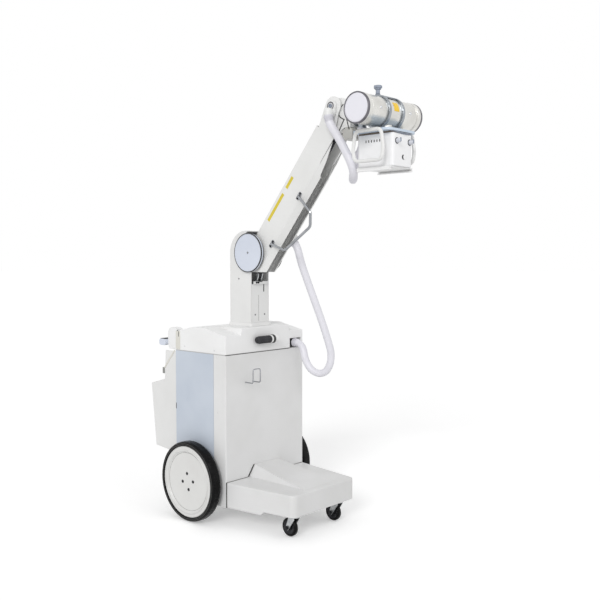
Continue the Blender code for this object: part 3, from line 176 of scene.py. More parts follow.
def bent_bar(shape, route, radius, sides=16, uv=False):
    """A round bar along a route, closed at both ends, with u round it and v in metres along it."""
    rings, lengths, normal = [], [0.0], None
    for index, spot in enumerate(route):
        before, after = route[max(index - 1, 0)], route[min(index + 1, len(route) - 1)]
        tangent = (after - before).normalized()
        normal = (normal or tangent.orthogonal()) - tangent * (normal or tangent.orthogonal()).dot(tangent)
        normal.normalize()
        side = tangent.cross(normal)
        if index:
            lengths.append(lengths[-1] + (spot - before).length)
        ring = []
        for step in range(sides):
            angle = FULL_TURN * step / sides
            ring.append(shape.verts.new(spot + (normal * math.cos(angle) + side * math.sin(angle)) * radius))
        rings.append(ring)
    layer = shape.loops.layers.uv.new("along") if uv else None
    for index in range(len(rings) - 1):
        for step in range(sides):
            after = (step + 1) % sides
            face = shape.faces.new((rings[index][step], rings[index][after],
                                    rings[index + 1][after], rings[index + 1][step]))
            if uv:
                across = (step, step + 1, step + 1, step)
                forward = (index, index, index + 1, index + 1)
                for loop, u, v in zip(face.loops, across, forward):
                    loop[layer].uv = (u / sides, lengths[v])
    for ring in (rings[0], rings[-1]):
        shape.faces.new(ring)
    return shape


SMOOTH_ANGLE = 38


def put_in_scene(name, shape, finish, angle=SMOOTH_ANGLE):
    """Makes an object of a bmesh, smooth except at edges sharper than the angle."""
    bmesh.ops.recalc_face_normals(shape, faces=shape.faces)
    mesh = bpy.data.meshes.new(name)
    shape.to_mesh(mesh)
    shape.free()
    mesh.materials.append(finish)
    mesh.shade_smooth()
    mesh.set_sharp_from_angle(angle=math.radians(angle))
    made = bpy.data.objects.new(name, mesh)
    bpy.context.collection.objects.link(made)
    return made


def fitting(name, shape, finish, body, soften=0.0):
    """A finished piece, its edges softened if asked, that rides on a body of the machine."""
    made = put_in_scene(name, shape, finish)
    if soften:
        edges = made.modifiers.new("soft_edges", "BEVEL")
        edges.width, edges.segments, edges.limit_method = soften, 2, "ANGLE"
    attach(made, body)
    return made


# %% [markdown]
# ## Writing shader maths
# A material is a graph of nodes, but formulas read better as Python. A Wire wraps a socket,
# and its operators add Math nodes. A Recipe makes any other node with one method: settings
# first, then the values or wires of its sockets. The same two classes build Geometry Nodes.


# %% Wires and recipes
class Wire:
    """An output socket, on which + - * / and ** add Math nodes."""

    def __init__(self, recipe, socket):
        self.recipe, self.socket = recipe, socket

    def maths(self, operation, first, second):
        return self.recipe.node("ShaderNodeMath", {"operation": operation}, {0: first, 1: second})

    def __add__(self, other):
        return self.maths("ADD", self, other)

    def __sub__(self, other):
        return self.maths("SUBTRACT", self, other)

    def __rsub__(self, other):
        return self.maths("SUBTRACT", other, self)

    def __mul__(self, other):
        return self.maths("MULTIPLY", self, other)

    def __truediv__(self, other):
        return self.maths("DIVIDE", self, other)

    def __pow__(self, other):
        return self.maths("POWER", self, other)

    __radd__ = __add__
    __rmul__ = __mul__


class Recipe:
    """The nodes of one material, world or geometry group."""

    def __init__(self, tree):
        self.tree = tree
        tree.nodes.clear()

    def node(self, kind, settings=None, sockets=None, output=0):
        made = self.tree.nodes.new(kind)
        for name, value in (settings or {}).items():
            if name == "stops":
                ramp = made.color_ramp
                while len(ramp.elements) < len(value):
                    ramp.elements.new(0.5)
                for element, (position, level) in zip(ramp.elements, value):
                    element.position, element.color = position, (level, level, level, 1.0)
            else:
                setattr(made, name, value)
        for name, value in (sockets or {}).items():
            if isinstance(value, Wire):
                self.tree.links.new(value.socket, made.inputs[name])
            else:
                made.inputs[name].default_value = value
        return Wire(self, made.outputs[output]) if made.outputs else None


def linear(code):
    """A screen colour such as #e9e9e9 as the linear numbers that Blender mixes."""
    channels = [int(code[place:place + 2], 16) / 255 for place in (1, 3, 5)]
    return [c / 12.92 if c <= 0.04045 else ((c + 0.055) / 1.055) ** 2.4 for c in channels] + [1.0]


# %% [markdown]
# ## Reusable bits of a finish
# Real surfaces are never quite even. Noise at a large scale shifts the tone a little, as
# handling and light dust do. Noise at a fine scale makes the texture you can feel. A Bevel
# node rounds the look of the CAD's hard edges, and the difference between its normal and the
# true one is a mask of the edges, where paint is thinner and hands leave a sheen.

# %% Noise, colour mixing and soft edges
MIX_A, MIX_B, MIX_COLOUR = 6, 7, 2
TONE_SCALE = 4.5


class Finish(Recipe):
    """A material made from the recipe's nodes."""

    def __init__(self, name):
        self.material = bpy.data.materials.new(name)
        self.material.use_nodes = True
        super().__init__(self.material.node_tree)
        self.place = self.node("ShaderNodeTexCoord", output="Object")

    def noise(self, scale, detail=2.0, stretch=None, rough=0.5):
        where = self.place
        if stretch:
            where = self.node("ShaderNodeMapping", {}, {"Vector": where, "Scale": stretch})
        return self.node("ShaderNodeTexNoise", {}, {"Vector": where, "Scale": scale, "Detail": detail,
                                                   "Roughness": rough})

    def ramp(self, wire, *stops):
        return self.node("ShaderNodeValToRGB", {"stops": stops}, {"Fac": wire})

    def colours(self, first, second, mask):
        first, second = (linear(c) if isinstance(c, str) else c for c in (first, second))
        return self.node("ShaderNodeMix", {"data_type": "RGBA"},
                         {"Factor": mask, MIX_A: first, MIX_B: second}, MIX_COLOUR)

    def soft_normal(self, radius):
        return self.node("ShaderNodeBevel", {"samples": 4}, {"Radius": radius})

    def edges(self, soft):
        true = self.node("ShaderNodeNewGeometry", output="Normal")
        facing = self.node("ShaderNodeVectorMath", {"operation": "DOT_PRODUCT"}, {0: soft, 1: true}, "Value")
        return self.ramp(1 - facing, (0.0, 0.0), (0.30, 1.0))

    def bump(self, height, depth, strength, normal=None):
        sockets = {"Height": height, "Distance": depth, "Strength": strength}
        if normal:
            sockets["Normal"] = normal
        return self.node("ShaderNodeBump", {}, sockets)

    def surface(self, sockets):
        shader = self.node("ShaderNodeBsdfPrincipled", {}, sockets)
        self.node("ShaderNodeOutputMaterial", {}, {"Surface": shader})
        return self.material


# %% [markdown]
# ## Paint and moulded plastic
# The cabinet, platform, column and arm are steel with a baked powder coat. It has a very
# fine orange-peel texture and a satin gloss. The covers are moulded plastic with a finer,
# duller grain. Both share one recipe with different numbers, since they differ only in
# grain size, depth and gloss.


# %% Painted and moulded finishes
def coated(name, colour, shade, grain, depth, gloss, edge_radius=0.0016, edge_tone=None):
    """An even coat with a fine grain; shade is the same colour where it is handled or dusty."""
    finish = Finish(name)
    soft = finish.soft_normal(edge_radius)
    drift = finish.ramp(finish.noise(TONE_SCALE, 3.0), (0.38, 0.0), (0.66, 1.0))
    peel = finish.noise(grain, 2.0)
    rim = finish.edges(soft)
    tone = finish.colours(colour, shade, drift * 0.75)
    tone = finish.colours(tone, edge_tone or colour, rim * 0.6)
    rough = gloss + (peel - 0.5) * 0.10 + drift * 0.05 - rim * 0.06
    return finish.surface({"Base Color": tone, "Roughness": rough,
                           "Normal": finish.bump(peel, depth, 0.35, soft)})


PLASTIC_GRAIN = 1500.0
POWDER, FINE_POWDER, MOULDED = (620.0, 0.00012), (620.0, 0.00010), (PLASTIC_GRAIN, 0.00007)
white_paint = coated("white powder coat", "#e7e7e6", "#dfdfde", *POWDER, 0.38)
platform_paint = coated("platform powder coat", "#dedede", "#d6d6d5", *POWDER, 0.40)
cabinet_paint = coated("cabinet powder coat", "#e3e3e3", "#dbdbda", *POWDER, 0.40)
bin_paint = coated("bin powder coat", "#e5e5e4", "#dcdcdb", *POWDER, 0.42)
arm_paint = coated("arm powder coat", "#e9e9e8", "#e0e0de", *POWDER, 0.36)
wheel_paint = coated("wheel disc paint", "#dededc", "#d4d3d1", *FINE_POWDER, 0.34)
cover_plastic = coated("white moulded cover", "#f0f0f0", "#e8e8e7", *MOULDED, 0.46, 0.0025)
box_plastic = coated("white collimator plastic", "#f3f3f4", "#ebebec", PLASTIC_GRAIN, 0.00006, 0.38, 0.0025)
lock_plastic = coated("grey white lock cover", "#c6c5c0", "#bcbbb5", *MOULDED, 0.42)
bracket_paint = coated("warm grey bracket", "#dbd9d1", "#d2d0c8", *FINE_POWDER, 0.40)
knob_plastic = coated("light grey knob", "#d3d5dc", "#bfc2cb", *MOULDED, 0.36)
cap_plastic = coated("lilac white end cap", "#e9e8ef", "#e1e0e8", *MOULDED, 0.42, 0.0025)
blue_panel = coated("pale blue panel", "#c6ced9", "#bac3d0", *POWDER, 0.40)
blue_plastic = coated("pale blue plastic", "#d5dbe7", "#cdd3e0", *MOULDED, 0.42, 0.0020)
flange_paint = coated("blue flange paint", "#c9d6e4", "#bdcbdb", *FINE_POWDER, 0.34)
grey_plastic = coated("grey moulded plastic", "#8f97a6", "#7f8795", PLASTIC_GRAIN, 0.00008, 0.45)
black_plastic = coated("black moulded plastic", "#1d1d22", "#29292d", PLASTIC_GRAIN, 0.00010, 0.42,
                       edge_tone="#3a3a40")
print("coated finishes ready")

# %% [markdown]
# ## Rubber, gaskets and hose
# The tyres are smooth black rubber that has been polished by rolling, with scuffs. The hose
# jacket is soft vinyl: satin, with faint lines along it from the die that shaped it. Its
# pattern follows the hose, so it reads the hose's own UV map: u goes round, v along.


# %% Rubber and vinyl finishes
def rubber(name, colour, scuff, gloss, sheen=0.5):
    finish = Finish(name)
    soft = finish.soft_normal(0.0015)
    wear = finish.ramp(finish.noise(24.0, 5.0, rough=0.62), (0.50, 0.0), (0.72, 1.0))
    grain = finish.noise(900.0, 3.0)
    tone = finish.colours(colour, scuff, wear * 0.7 + (grain - 0.5) * 0.2)
    rough = gloss + wear * 0.22 + (grain - 0.5) * 0.08
    return finish.surface({"Base Color": tone, "Roughness": rough, "Specular IOR Level": sheen,
                           "Normal": finish.bump(grain, 0.0001, 0.4, soft)})


def hose_vinyl(name, colour, shade):
    finish = Finish(name)
    along = finish.node("ShaderNodeTexCoord", output="UV")
    stretched = finish.node("ShaderNodeMapping", {}, {"Vector": along, "Scale": (9.0, 3.0, 1.0)})
    lines = finish.node("ShaderNodeTexNoise", {}, {"Vector": stretched, "Scale": 4.0, "Detail": 3.0})
    handled = finish.ramp(finish.noise(9.0, 4.0), (0.45, 0.0), (0.70, 1.0))
    grain = finish.noise(1300.0, 2.0)
    tone = finish.colours(colour, shade, lines * 0.45 + handled * 0.4)
    rough = 0.36 + handled * 0.12 + (grain - 0.5) * 0.08
    height = lines * 0.7 + grain * 0.3
    return finish.surface({"Base Color": tone, "Roughness": rough, "Normal": finish.bump(height, 0.0003, 0.3)})


tyre_rubber = rubber("tyre rubber", "#070708", "#151515", 0.26, 0.12)
seal_rubber = rubber("gasket rubber", "#2e2e2d", "#454442", 0.55)
pale_seal = rubber("grey gasket", "#8d8d8a", "#9c9c99", 0.55)
light_seal = rubber("light grey gasket", "#b9b9b7", "#c4c4c2", 0.55)
hose_jacket = hose_vinyl("hose vinyl", "#e6e5eb", "#dad9e1")
cuff_vinyl = coated("hose cuff vinyl", "#dfdee5", "#d3d2da", PLASTIC_GRAIN, 0.00008, 0.44)

# %% [markdown]
# ## Metals
# Four metals are bare. The tube housing is aluminium turned on a lathe and clear-coated, so
# its fine lines go round it: noise that changes quickly along x and hardly at all round the
# tube. The handle rod and hook are chromed, in a darker chrome whose colour is a painted
# reflection of darker surroundings. The caster forks are zinc, whose plating is
# mottled. The rings that hold the tube are grey hammered steel.


# %% Metal finishes
def metal(name, colour, shade, gloss, mottling, grain_stretch, grain_scale, depth, spread=0.10):
    finish = Finish(name)
    soft = finish.soft_normal(0.0010)
    patch = finish.ramp(finish.noise(mottling, 4.0), (0.36, 0.0), (0.68, 1.0))
    grain = finish.noise(grain_scale, 2.0, grain_stretch)
    tone = finish.colours(colour, shade, patch * 0.6 + (grain - 0.5) * 0.5)
    rough = gloss + patch * spread + (grain - 0.5) * 0.12
    return finish.surface({"Base Color": tone, "Metallic": 1.0, "Roughness": rough,
                           "Normal": finish.bump(grain, depth, 0.35, soft)})


EVEN = (1.0, 1.0, 1.0)
turned_metal = metal("turned aluminium", "#e2e1dd", "#c9c7c2", 0.26, 14.0, (1.0, 0.02, 0.02), 900.0, 0.00012)
ring_metal = metal("grey ring steel", "#a3a8ae", "#868c93", 0.32, 60.0, EVEN, 420.0, 0.00012)
dark_ring = metal("dark ring steel", "#77757a", "#5b5a5f", 0.34, 40.0, (1.0, 0.05, 0.05), 700.0, 0.00010)
zinc_plate = metal("zinc plate", "#c3c5c6", "#a2a5a8", 0.34, 90.0, (1.0, 1.0, 0.6), 500.0, 0.00010, 0.16)
chrome_plate = metal("chrome plate", "#d6d7da", "#c4c5c9", 0.08, 30.0, EVEN, 300.0, 0.00002, 0.06)
# Darker chrome for the handle rod and hook: its colour is a painted reflection of darker surroundings.
chrome_dark_reflection = metal("chrome with painted dark reflection", "#a9abaf", "#84868a", 0.13, 30.0, EVEN, 300.0, 0.00002, 0.08)
dark_steel = metal("blackened steel", "#3b3b3e", "#2a2a2c", 0.38, 50.0, EVEN, 500.0, 0.00010)
screw_steel = metal("screw steel", "#8b8c8e", "#6e6f72", 0.30, 200.0, EVEN, 900.0, 0.00006)

# %% [markdown]
# ## Labels
# The real machine carries printed stickers. Ours are blank: the yellow strips on the arm
# and the yellow plate on the tube keep their place and colour, but say nothing. A printed
# vinyl sheet has a faint mottle in its ink and lifts a little at its rim.


# %% Blank label sheet
def label_sheet(name, colour, shade):
    finish = Finish(name)
    ink = finish.noise(110.0, 4.0)
    handled = finish.ramp(finish.noise(30.0, 3.0), (0.45, 0.0), (0.70, 1.0))
    tone = finish.colours(colour, shade, ink * 0.5 + handled * 0.4)
    return finish.surface({"Base Color": tone, "Roughness": 0.34 + handled * 0.15,
                           "Normal": finish.bump(ink, 0.0001, 0.3)})


yellow_sheet = label_sheet("blank yellow label", "#dcc83c", "#cdb832")
amber_sheet = label_sheet("blank amber label", "#f2c82c", "#e2b722")

# %% [markdown]
# ## Putting finishes on the CAD
# Each CAD node names a material slot, such as white_paint. A table gives every slot its
# finish, and a second table names the few nodes whose tone differs from their slot's.

# %% Finishes of the CAD nodes
SLOT_FINISH = {
    "white_paint": white_paint, "grey_white_paint": wheel_paint, "white_moulding": cover_plastic,
    "blue_panel": blue_panel, "blue_moulding": blue_plastic, "grey_moulding": grey_plastic,
    "black_moulding": black_plastic, "tyre": tyre_rubber, "zinc": zinc_plate,
    "dark_steel": dark_steel, "chrome": chrome_plate, "tube_metal": turned_metal,
    "ring_metal": ring_metal, "hose": hose_jacket,
}
NODE_FINISH = {
    "cabinet_body": cabinet_paint, "base_platform": platform_paint, "cassette_bin": bin_paint,
    "arm_beam": arm_paint, "knuckle": arm_paint, "tube_cap_left": cap_plastic,
    "tube_cap_right": cap_plastic, "collimator_flange": flange_paint,
    "collimator_box": box_plastic, "accessory_rails": cover_plastic, "level_lock": lock_plastic,
    "collimator_knob_left": knob_plastic, "collimator_knob_right": knob_plastic,
    "arm_handle": chrome_dark_reflection, "cable_hook": chrome_dark_reflection,
}
for name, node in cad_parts.items():
    for holder in node.material_slots:
        slot_name = holder.material.name.split(".")[0]
        holder.material = NODE_FINISH.get(name, SLOT_FINISH.get(slot_name, white_paint))
print("dressed", len(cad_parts), "CAD nodes")

# %% [markdown]
# ## The two hoses
# A hose is a fixed length of something limp. The big one leaves the cabinet's front, hangs
# in a deep loop and climbs to the arm. The short one leaves the elbow at the arm's tip,
# swings down behind the collimator and comes up under the tube. A smooth curve runs through
# each hose's knots.

# %% Hose routes
HOSE_RADIUS = 0.017
SKIN_STEP = 0.010
SPAN_PARTS = 12
ARM_ROUTE = [
    (0.1990, 0.0080, 0.7830), (0.1990, -0.0100, 0.7830), (0.1960, -0.0340, 0.7760),
    (0.1900, -0.0580, 0.7560), (0.1880, -0.0700, 0.7220), (0.1920, -0.0830, 0.6880),
    (0.1990, -0.1080, 0.6590), (0.2070, -0.1440, 0.6470), (0.2130, -0.1800, 0.6600),
    (0.2160, -0.2030, 0.6980), (0.2140, -0.2090, 0.7450), (0.2030, -0.2050, 0.7920),
    (0.1830, -0.1960, 0.8580), (0.1600, -0.1840, 0.9300), (0.1340, -0.1700, 1.0080),
    (0.1080, -0.1560, 1.0860), (0.0840, -0.1480, 1.1500), (0.0710, -0.1450, 1.1900),
    (0.0663, -0.1380, 1.2220), (0.0663, -0.1247, 1.2442), (0.0663, -0.1060, 1.2592),
]
HEAD_ROUTE = [
    (-0.0745, -0.4375, 1.7660), (-0.0740, -0.4440, 1.7380), (-0.0715, -0.4620, 1.7080),
    (-0.0700, -0.4850, 1.6760), (-0.0690, -0.5150, 1.6290), (-0.0660, -0.5430, 1.5790),
    (-0.0560, -0.5520, 1.5420), (-0.0320, -0.5360, 1.5130), (-0.0020, -0.5090, 1.5060),
    (0.0260, -0.4870, 1.5240), (0.0400, -0.4810, 1.5600), (0.0370, -0.4950, 1.6000),
    (0.0200, -0.5330, 1.6280), (0.0040, -0.5530, 1.6580), (0.0, -0.5539, 1.6930),
    (0.0, -0.5539, 1.7122),
]


def smooth_route(route, step):
    """Points about a step apart on a curve through the route's knots."""
    knots = [at(*knot) for knot in route]
    knots = [knots[0] * 2 - knots[1]] + knots + [knots[-1] * 2 - knots[-2]]
    fine = []
    for before, start, end, after in zip(knots, knots[1:], knots[2:], knots[3:]):
        for part in range(SPAN_PARTS):
            u = part / SPAN_PARTS
            fine.append(0.5 * (2 * start + (end - before) * u
                               + (2 * before - 5 * start + 4 * end - after) * u ** 2
                               + (3 * start - before - 3 * end + after) * u ** 3))
    fine.append(knots[-2])
    lengths = [0.0]
    for near, far in zip(fine, fine[1:]):
        lengths.append(lengths[-1] + (far - near).length)
    count = round(lengths[-1] / step)
    points, index = [], 0
    for number in range(count + 1):
        goal = lengths[-1] * number / count
        while index < len(fine) - 2 and lengths[index + 1] < goal:
            index += 1
        share = (goal - lengths[index]) / (lengths[index + 1] - lengths[index])
        points.append(fine[index].lerp(fine[index + 1], share))
    return points, lengths[-1]


# %% [markdown]
# Each skin is a round tube along its hose's curve, with a UV map round and along it. It takes
# the place of the CAD's hose, which is hidden.


# %% Hose skins
def hose(name, node, route, start, end):
    points, length = smooth_route(route, SKIN_STEP)
    skin = put_in_scene(name, bent_bar(bmesh.new(), points, HOSE_RADIUS, 28, uv=True), hose_jacket, 80)
    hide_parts(node)
    at(*start)
    at(*end)
    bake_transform(skin)
    print(name, "is", round(length, 3), "m long,", len(points), "points")
    return points


arm_hose_points = hose("hose_arm_skin", "hose_arm", ARM_ROUTE,
                       (0.2030, -0.2050, 0.80), (0.0663, -0.1247, 1.2442))
head_hose_points = hose("hose_head_skin", "hose_head", HEAD_ROUTE,
                        (-0.0685, -0.4640, 1.7240), (-0.0611, -0.4969, 1.6719))


# %% [markdown]
# Where a hose enters a housing, a tapered vinyl cuff keeps it from kinking. A cuff is a
# lathe profile with a few rings, thick at the housing and thin at the hose.


# %% Hose cuffs
def cuff(name, place, direction, length, body):
    """A ribbed, tapered cuff that grows out of a housing in a direction."""
    mouth, root = HOSE_RADIUS + 0.0008, HOSE_RADIUS + 0.0038
    profile = [(0.0, HOSE_RADIUS - 0.002), (0.0, root)]
    ribs = 5
    for rib in range(ribs):
        share = (rib + 0.5) / ribs
        radius = root + (mouth - root) * share
        base = 0.003 + (length - 0.006) * rib / ribs
        pitch = (length - 0.006) / ribs
        profile += [(base, radius), (base + pitch * 0.62, radius), (base + pitch * 0.68, radius - 0.0012),
                    (base + pitch * 0.94, radius - 0.0012)]
    profile += [(length - 0.003, mouth + 0.0004), (length, mouth - 0.0004), (length, HOSE_RADIUS - 0.002)]
    return fitting(name, turned(bmesh.new(), profile, place, direction, 32), cuff_vinyl, body)


def heading(points, near, far):
    return (points[far] - points[near]).normalized()


cuff("cuff_cabinet", arm_hose_points[0], heading(arm_hose_points, 0, 2), 0.024, "machine")
cuff("cuff_arm", arm_hose_points[-1], heading(arm_hose_points, -1, -3), 0.026, "arm")
cuff("cuff_elbow", head_hose_points[0], heading(head_hose_points, 0, 2), 0.026, "wrist")
cuff("cuff_head", head_hose_points[-1], heading(head_hose_points, -1, -3), 0.022, "yoke")
print("four cuffs made")

# %% [markdown]
# ## Repeating a part with Geometry Nodes
# Screws, bolts and vent slots are each one small shape, set many times. The tree below
# takes a cloud of points, each with a facing direction, puts the shape on every point, turns
# each a little at random as a fitter would leave them, and realises the copies.


# %% Opening a tree and keeping its result
def open_tree(name, inputs):
    """A Geometry Nodes group with named inputs: its tree, a recipe, the inputs' wires and identifiers."""
    tree = bpy.data.node_groups.new(name, "GeometryNodeTree")
    recipe = Recipe(tree)
    sockets = {}
    for label, kind in inputs.items():
        socket = tree.interface.new_socket(name=label, in_out="INPUT", socket_type="NodeSocket" + kind)
        sockets[label] = socket.identifier
    tree.interface.new_socket(name="Geometry", in_out="OUTPUT", socket_type="NodeSocketGeometry")
    group_input = tree.nodes.new("NodeGroupInput")
    return tree, recipe, {label: Wire(recipe, group_input.outputs[label]) for label in inputs}, sockets


def close_tree(recipe, copies, finish):
    """Realises a tree's copies, gives them their finish and hands them out."""
    copies = recipe.node("GeometryNodeRealizeInstances", {}, {"Geometry": copies})
    copies = recipe.node("GeometryNodeSetMaterial", {}, {"Geometry": copies, "Material": finish})
    recipe.node("NodeGroupOutput", {}, {"Geometry": copies})


def grown(name, cloud, tree, sockets, values):
    """Runs a tree on a mesh with the given inputs and keeps the result as one plain mesh."""
    made = bpy.data.objects.new(name, cloud)
    bpy.context.collection.objects.link(made)
    modifier = made.modifiers.new("grown", "NODES")
    modifier.node_group = tree
    for label, value in values.items():
        modifier[sockets[label]] = value
    graph = bpy.context.evaluated_depsgraph_get()
    mesh = bpy.data.meshes.new_from_object(made.evaluated_get(graph), depsgraph=graph)
    made.modifiers.clear()
    made.data = mesh
    mesh.name = name
    mesh.shade_smooth()
    return made


# %% The repeat tree
SEED = 7
repeat_tree, recipe, given, repeat_sockets = open_tree("repeat on points", {
    "Geometry": "Geometry", "Shape": "Object", "Size": "Float", "Random turn": "Float", "Seed": "Int",
    "Finish": "Material"})
facing = recipe.node("GeometryNodeInputNamedAttribute", {"data_type": "FLOAT_VECTOR"}, {"Name": "facing"})
turn = recipe.node("FunctionNodeAlignRotationToVector", {"axis": "Z"}, {"Vector": facing})
draw = recipe.node("FunctionNodeRandomValue", {"data_type": "FLOAT"}, {"Seed": given["Seed"]}, 1)
spin = recipe.node("FunctionNodeAxisAngleToRotation", {}, {"Axis": UP, "Angle": draw * given["Random turn"]})
turn = recipe.node("FunctionNodeRotateRotation", {"rotation_space": "LOCAL"}, {"Rotation": turn, "Rotate By": spin})
template = recipe.node("GeometryNodeObjectInfo", {"transform_space": "ORIGINAL"}, {"Object": given["Shape"]},
                       "Geometry")
copies = recipe.node("GeometryNodeInstanceOnPoints", {},
                     {"Points": given["Geometry"], "Instance": template, "Rotation": turn, "Scale": given["Size"]})
close_tree(recipe, copies, given["Finish"])


def repeated(name, shape, places, finish, body, size=1.0, random_turn=0.0):
    """Sets a shape on (place, facing) pairs."""
    pattern = put_in_scene(name + "_pattern", shape, finish)
    cloud = bpy.data.meshes.new(name)
    cloud.from_pydata([place for place, _ in places], [], [])
    directions = cloud.attributes.new("facing", "FLOAT_VECTOR", "POINT")
    for index, (_, direction) in enumerate(places):
        directions.data[index].vector = direction
    made = grown(name, cloud, repeat_tree, repeat_sockets,
                 {"Shape": pattern, "Size": size, "Random turn": random_turn, "Seed": SEED, "Finish": finish})
    bpy.data.objects.remove(pattern)
    made.data.set_sharp_from_angle(angle=math.radians(SMOOTH_ANGLE))
    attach(made, body)
    print(name, len(places), "copies,", len(made.data.polygons), "faces")


# %% [markdown]
# ## Screws and bolts
# A pan-head screw is a low dome with a cross recess; a bolt is a hexagon on a washer. Both
# are drawn once, looking up z, a few millimetres across, and set by the repeat tree.


# %% Screw and bolt shapes
def pan_head(radius, height):
    """A domed screw head with a cross cut into it."""
    shape = turned(bmesh.new(), [(-0.0010, radius), (height * 0.30, radius), (height * 0.75, radius * 0.82),
                                 (height, radius * 0.45), (height, 0.0)], Vector(), (0, 0, 1), 20)
    reach, arm = radius * 0.60, radius * 0.13
    cross = [(arm, arm), (reach, arm), (reach, -arm), (arm, -arm), (arm, -reach), (-arm, -reach),
             (-arm, -arm), (-reach, -arm), (-reach, arm), (-arm, arm), (-arm, reach), (arm, reach)]
    return prism(shape, cross, "z", height * 0.4, height * 1.06)


def hex_bolt(radius, height):
    """A hexagon head standing on a round washer."""
    shape = turned(bmesh.new(), [(-0.0010, radius * 1.35), (height * 0.22, radius * 1.35),
                                 (height * 0.28, radius * 1.25), (height * 0.28, 0.0)], Vector(), (0, 0, 1), 24)
    flats = [(radius * math.cos(math.radians(60 * n)), radius * math.sin(math.radians(60 * n))) for n in range(6)]
    prism(shape, flats, "z", height * 0.2, height * 0.85)
    narrow = [(a * 0.86, b * 0.86) for a, b in flats]
    return prism(shape, narrow, "z", height * 0.84, height)


SIDE_SCREWS = ((0.276, 0.781), (0.072, 0.776), (0.053, 0.748), (0.052, 0.503), (0.052, 0.250))
FRONT_SCREW = at(0.243, 0.0, 0.781)
cabinet_screws = [(at(side * HALF_WIDTH, y, z), (side, 0, 0)) for side in SIDES for y, z in SIDE_SCREWS]
cabinet_screws.append((FRONT_SCREW, AHEAD))
repeated("cabinet_screws", pan_head(0.0040, 0.0018), cabinet_screws, cabinet_paint, "machine",
         random_turn=FULL_TURN)

# %% [markdown]
# ## Wheels and casters
# Four dark bolts stand on each rear wheel's disc, over the holes of the CAD. A raised ring
# runs round the disc, and a thin grey ring at the foot of its step is painted shade. Two
# ribs run round the tyre's wall, lighter grey than the tyre as a painted highlight. Each
# caster's wheel turns on one bolt through its fork.

# %% Wheel and caster bolts
BOLT_CIRCLE = 0.036
FIRST_BOLT = 8                    # degrees past straight up
REAR_AXLE_Y, REAR_AXLE_Z, DISC_FACE, DISC_RIM = 0.188, 0.180, 0.3103, 0.3153
TYRE_FACE, TYRE_RADIUS = 0.3193, 0.180
CASTER_X, CASTER_AXLE, FORK_HALF = 0.143, (-0.286, 0.040), 0.0240


def bead(shape, place, direction, distance, radius, half_width, height):
    """A low rounded ring that stands on a face of something turned."""
    profile = [(distance - 0.0006, radius - half_width), (distance + height * 0.7, radius - half_width * 0.6),
               (distance + height, radius), (distance + height * 0.7, radius + half_width * 0.6),
               (distance - 0.0006, radius + half_width)]
    return turned(shape, profile, place, direction, 96)


for side, label, outward in ((-1, "left", LEFT), (1, "right", RIGHT)):
    bolts = []
    for quarter in range(4):
        angle = math.radians(FIRST_BOLT + 90 * quarter)
        bolts.append((at(side * DISC_FACE, REAR_AXLE_Y + BOLT_CIRCLE * math.sin(angle),
                         REAR_AXLE_Z + BOLT_CIRCLE * math.cos(angle)), outward))
    repeated("wheel_bolts_" + label, hex_bolt(0.0053, 0.0036), bolts, dark_steel, "wheel_" + label)
    hub = at(0, REAR_AXLE_Y, REAR_AXLE_Z)
    fitting("wheel_ring_" + label, bead(bmesh.new(), hub, outward, DISC_RIM, 0.1410, 0.0048, 0.0036), wheel_paint,
            "wheel_" + label)
    # A thin grey ring at the foot of the disc's step is painted shade.
    fitting("wheel_groove_" + label, bead(bmesh.new(), hub, outward, DISC_FACE, 0.1305, 0.0009, 0.0005), pale_seal,
            "wheel_" + label)
    # Two low ribs run round the tyre's wall; their grey, lighter than the tyre, is a painted highlight along the
    # shoulder.
    rings = bead(bmesh.new(), hub, outward, TYRE_FACE, 0.1660, 0.0018, 0.0010)
    bead(rings, hub, outward, TYRE_FACE - 0.0006, TYRE_RADIUS - 0.0080, 0.0014, 0.0012)
    fitting("tyre_rings_" + label, rings, seal_rubber, "wheel_" + label)
    ends = [(at(side * CASTER_X + way[0] * FORK_HALF, *CASTER_AXLE), way) for way in (LEFT, RIGHT)]
    repeated("caster_axle_bolts_" + label, hex_bolt(0.0065, 0.0050), ends, dark_steel,
             "caster_swivel_" + label)

# %% [markdown]
# ## Seams and gaps
# What separates the machine's panels is a set of thin dark lines: rubber gaskets and shadow
# gaps. Each is a slim strip that stands half a millimetre or so proud of the panels it
# parts, because a line that is only painted would vanish from the side.

# %% Gaskets round the cabinet
SEAM_Z = 0.7589
NOTCH_LEFT, NOTCH_RIGHT = 0.160, 0.236
seam = bmesh.new()
slab(seam, at(-0.2503, -0.0006, SEAM_Z - 0.0014), at(NOTCH_LEFT, 0.0020, SEAM_Z + 0.0014))
slab(seam, at(NOTCH_RIGHT, -0.0006, SEAM_Z - 0.0014), at(0.2503, 0.0020, SEAM_Z + 0.0014))
fitting("seam_front", seam, seal_rubber, "machine")
seam = side_slabs(bmesh.new(), 0.2480, 0.2505, (0.0, SEAM_Z - 0.0010), (0.3405, SEAM_Z + 0.0010))
fitting("seam_sides", seam, light_seal, "machine")

